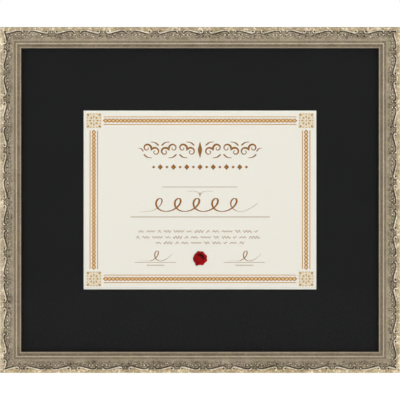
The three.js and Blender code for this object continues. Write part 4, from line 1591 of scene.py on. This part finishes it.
class FRAME_OT_hangers(bpy.types.Operator):
    """Build the folded hanger straps and their D-rings"""

    bl_idname = "picture_frame.hangers"
    bl_label = "Hangers"

    def execute(self, context):
        sizes = context.scene.hardware_sizes
        for side in ("left", "right"):
            low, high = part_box(f"d_ring_{side}")
            pivot = Vector(((low.x + high.x) / 2, (low.y + high.y) / 2, high.z - sizes.wire_radius))
            self.ring(sizes, side, pivot)
            self.strap(sizes, side, pivot)
        return {"FINISHED"}

    def ring(self, sizes, side, pivot):
        """A bent wire ring that hangs from its straight bar."""
        half = sizes.ring_half_width / MM
        bend = half - RING_CORNER
        quarter = np.linspace(0, math.pi / 2, 9)
        path = [(x, 0) for x in np.linspace(-bend, bend, 8)]
        path += [(bend + RING_CORNER * math.sin(a), RING_CORNER * (math.cos(a) - 1)) for a in quarter[1:]]
        path += [(half * math.cos(a), -RING_STRAIGHT - half * math.sin(a))
                 for a in np.linspace(0, math.pi, 33)]
        path += [(-bend - RING_CORNER * math.cos(a), RING_CORNER * (math.sin(a) - 1)) for a in quarter[:-1]]
        mesh = wire_mesh("ring_wire", [[(x, 0, z, 1) for x, z in path]], sizes.wire_radius, 4, is_loop=True)
        mesh.transform(Matrix.Translation(pivot))
        for face in mesh.polygons:
            face.use_smooth = True
        place_mesh(mesh, f"d_ring_{side}_wire", (steel(),), body=f"ring_{side}", nodes=(f"d_ring_{side}",))

    def strap(self, sizes, side, pivot):
        """A strip folded round the ring's bar, with its short tab lying on the long tail."""
        width, thick = sizes.strap_width, sizes.strap_thickness / MM
        bend = STRAP_WRAP - thick - STRAP_SEAM
        line = [(-STRAP_WRAP, -STRAP_TAIL)]
        line += [(-STRAP_WRAP * math.cos(a), STRAP_WRAP * math.sin(a))
                 for a in np.linspace(0, 1.5 * math.pi, 43)]
        line += [(-bend * math.sin(a), bend * (math.cos(a) - 1) - STRAP_WRAP)
                 for a in np.linspace(0, math.pi / 2, 13)[1:]]
        line = np.array([*line, (-bend, -STRAP_TAB)])
        steps = np.gradient(line, axis=0)
        steps /= np.hypot(steps[:, :1], steps[:, 1:])
        aside = np.stack((-steps[:, 1], steps[:, 0]), 1) * thick / 2
        edge_x = pivot.x - width / 2
        bm = prism([(edge_x, pivot.y + y * MM, pivot.z + z * MM)
                    for y, z in (*(line + aside), *(line - aside)[::-1])], (width, 0, 0))
        tail_z = pivot.z - (STRAP_TAIL - 0.1) * MM
        corners = [edge for edge in bm.edges if max(vert.co.z for vert in edge.verts) < tail_z
                   and abs(edge.verts[0].co.x - edge.verts[1].co.x) < NEAR]
        bmesh.ops.bevel(bm, geom=corners, offset=STRAP_ROUND * MM, segments=8, profile=0.5, affect="EDGES",
                        material=-1)
        soften(bm, 40)
        add_piece(bm, f"hanger_strap_{side}_folded", (steel(),), nodes=(f"hanger_strap_{side}",))


class FRAME_OT_bumpers(bpy.types.Operator):
    """Build the rubber wall bumpers"""

    bl_idname = "picture_frame.bumpers"
    bl_label = "Bumpers"

    def execute(self, context):
        rubber = listed_fibre("black_rubber")
        round_off = BUMPER_ROUND * MM
        for side in ("left", "right"):
            low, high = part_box(f"bumper_{side}")
            radius = (high.x - low.x) / 2
            profile = [(0, low.y), (radius, low.y), (radius, high.y - round_off)]
            profile += [(radius - round_off * (1 - math.cos(a)), high.y - round_off * (1 - math.sin(a)))
                        for a in np.linspace(0, math.pi / 2, 7)[1:]]
            profile += [(radius * 0.3, high.y), (0, high.y)]
            bm = spin_profile(profile, BUMPER_SEGMENTS)
            bmesh.ops.translate(bm, verts=bm.verts, vec=((low.x + high.x) / 2, 0, (low.z + high.z) / 2))
            soften(bm, 40)
            add_piece(bm, f"bumper_{side}_moulded", (rubber,), nodes=(f"bumper_{side}",))
        return {"FINISHED"}


# Stage

class FRAME_OT_stage(bpy.types.Operator):
    """Set the camera, the lights, the sky and the floor"""

    bl_idname = "picture_frame.stage"
    bl_label = "Stage"

    def execute(self, context):
        scene = context.scene
        stage = scene.stage_settings
        self.floor(scene, stage)
        self.sky(scene)
        for name, place, setting in LIGHTS:
            self.light(name, place, getattr(stage, setting), stage.light_size)
        camera = bpy.data.cameras.new("front_camera")
        camera.sensor_width = SENSOR
        front = LEDGE_Y - (BAND_HEIGHT - EDGE_ROUND) * MM
        camera.lens = SENSOR * (stage.camera_distance + front) / stage.picture_width
        camera.clip_end = 50
        viewer = link_object("front_camera", camera)
        viewer.location = (0, -stage.camera_distance, 0)
        viewer.rotation_euler = (math.pi / 2, 0, 0)
        scene.camera = viewer
        scene.view_settings.view_transform = "Standard"
        return {"FINISHED"}

    def floor(self, scene, stage):
        """A pale floor under the frame."""
        bm = bmesh.new()
        place = Matrix.Translation((0, 0, -scene.moulding_sizes.outer_height / 2 - FLOOR_GAP * MM))
        bmesh.ops.create_grid(bm, x_segments=4, y_segments=4, size=stage.floor_size / 2, matrix=place)
        mesh = to_mesh(bm, "floor")
        material, tree, shader = new_material("pale_floor")
        feed(tree, shader, {
            "Base Color": ramp(tree, noise(tree, 3), (
                (0.3, (0.54, 0.54, 0.54)), (0.7, (0.58, 0.58, 0.58)))),
            "Roughness": 0.9,
            "Specular IOR Level": 0.0,
            "Emission Color": (1, 1, 1),
            "Emission Strength": 0.75})
        mesh.materials.append(material)
        floor = link_object("floor", mesh)

    def sky(self, scene):
        """A white background that lights the part softly and leaves the glass clear."""
        world = bpy.data.worlds.new("studio")
        world.use_nodes = True
        tree = world.node_tree
        path = add_node(tree, "ShaderNodeLightPath")
        dim = add_node(tree, "ShaderNodeMix", {
            "Factor": path.outputs["Is Glossy Ray"], "A": SKY_LIGHT, "B": SKY_GLOSS})
        shown = add_node(tree, "ShaderNodeMix", {
            "Factor": path.outputs["Is Camera Ray"], "A": dim.outputs["Result"], "B": 1.0})
        feed(tree, tree.nodes["Background"], {"Strength": shown.outputs["Result"], "Color": (1, 1, 1)})
        scene.world = world

    def light(self, name, place, energy, size):
        """A square soft light aimed at the part."""
        lamp = bpy.data.lights.new(name, "AREA")
        lamp.energy = energy
        lamp.size = size
        holder = link_object(name, lamp)
        holder.location = place
        holder.rotation_euler = (-Vector(place)).to_track_quat("-Z", "Y").to_euler()
        holder.visible_camera = False


class FRAME_PT_panel(bpy.types.Panel):
    """Lists the steps that build the picture frame"""

    bl_idname = "FRAME_PT_panel"
    bl_label = "Picture Frame"
    bl_space_type = "VIEW_3D"
    bl_region_type = "UI"
    bl_category = "Picture Frame"

    def draw(self, context):
        for operator in OPERATORS:
            self.layout.operator(operator.bl_idname)


SETTINGS = {
    "moulding_sizes": MouldingSizes,
    "ornament_sizes": OrnamentSizes,
    "sheet_sizes": SheetSizes,
    "hardware_sizes": HardwareSizes,
    "frame_colours": FrameColours,
    "stage_settings": StageSettings,
}
OPERATORS = (
    FRAME_OT_rails, FRAME_OT_ornament, FRAME_OT_mat, FRAME_OT_print, FRAME_OT_seal, FRAME_OT_backing,
    FRAME_OT_nails, FRAME_OT_screws, FRAME_OT_buttons, FRAME_OT_hangers, FRAME_OT_bumpers, FRAME_OT_stage,
)
CLASSES = (*SETTINGS.values(), *OPERATORS, FRAME_PT_panel)


def register():
    for item in CLASSES:
        bpy.utils.register_class(item)
    for name, group in SETTINGS.items():
        setattr(bpy.types.Scene, name, bpy.props.PointerProperty(type=group))


def unregister():
    for name in SETTINGS:
        delattr(bpy.types.Scene, name)
    for item in reversed(CLASSES):
        bpy.utils.unregister_class(item)


def main():
    register()
    steps = bpy.ops.picture_frame
    steps.rails()
    steps.ornament()
    steps.mat()
    steps.print()
    steps.seal()
    steps.backing()
    steps.nails()
    steps.screws()
    steps.buttons()
    steps.hangers()
    steps.bumpers()
    steps.stage()


if __name__ == "__main__":
    main()
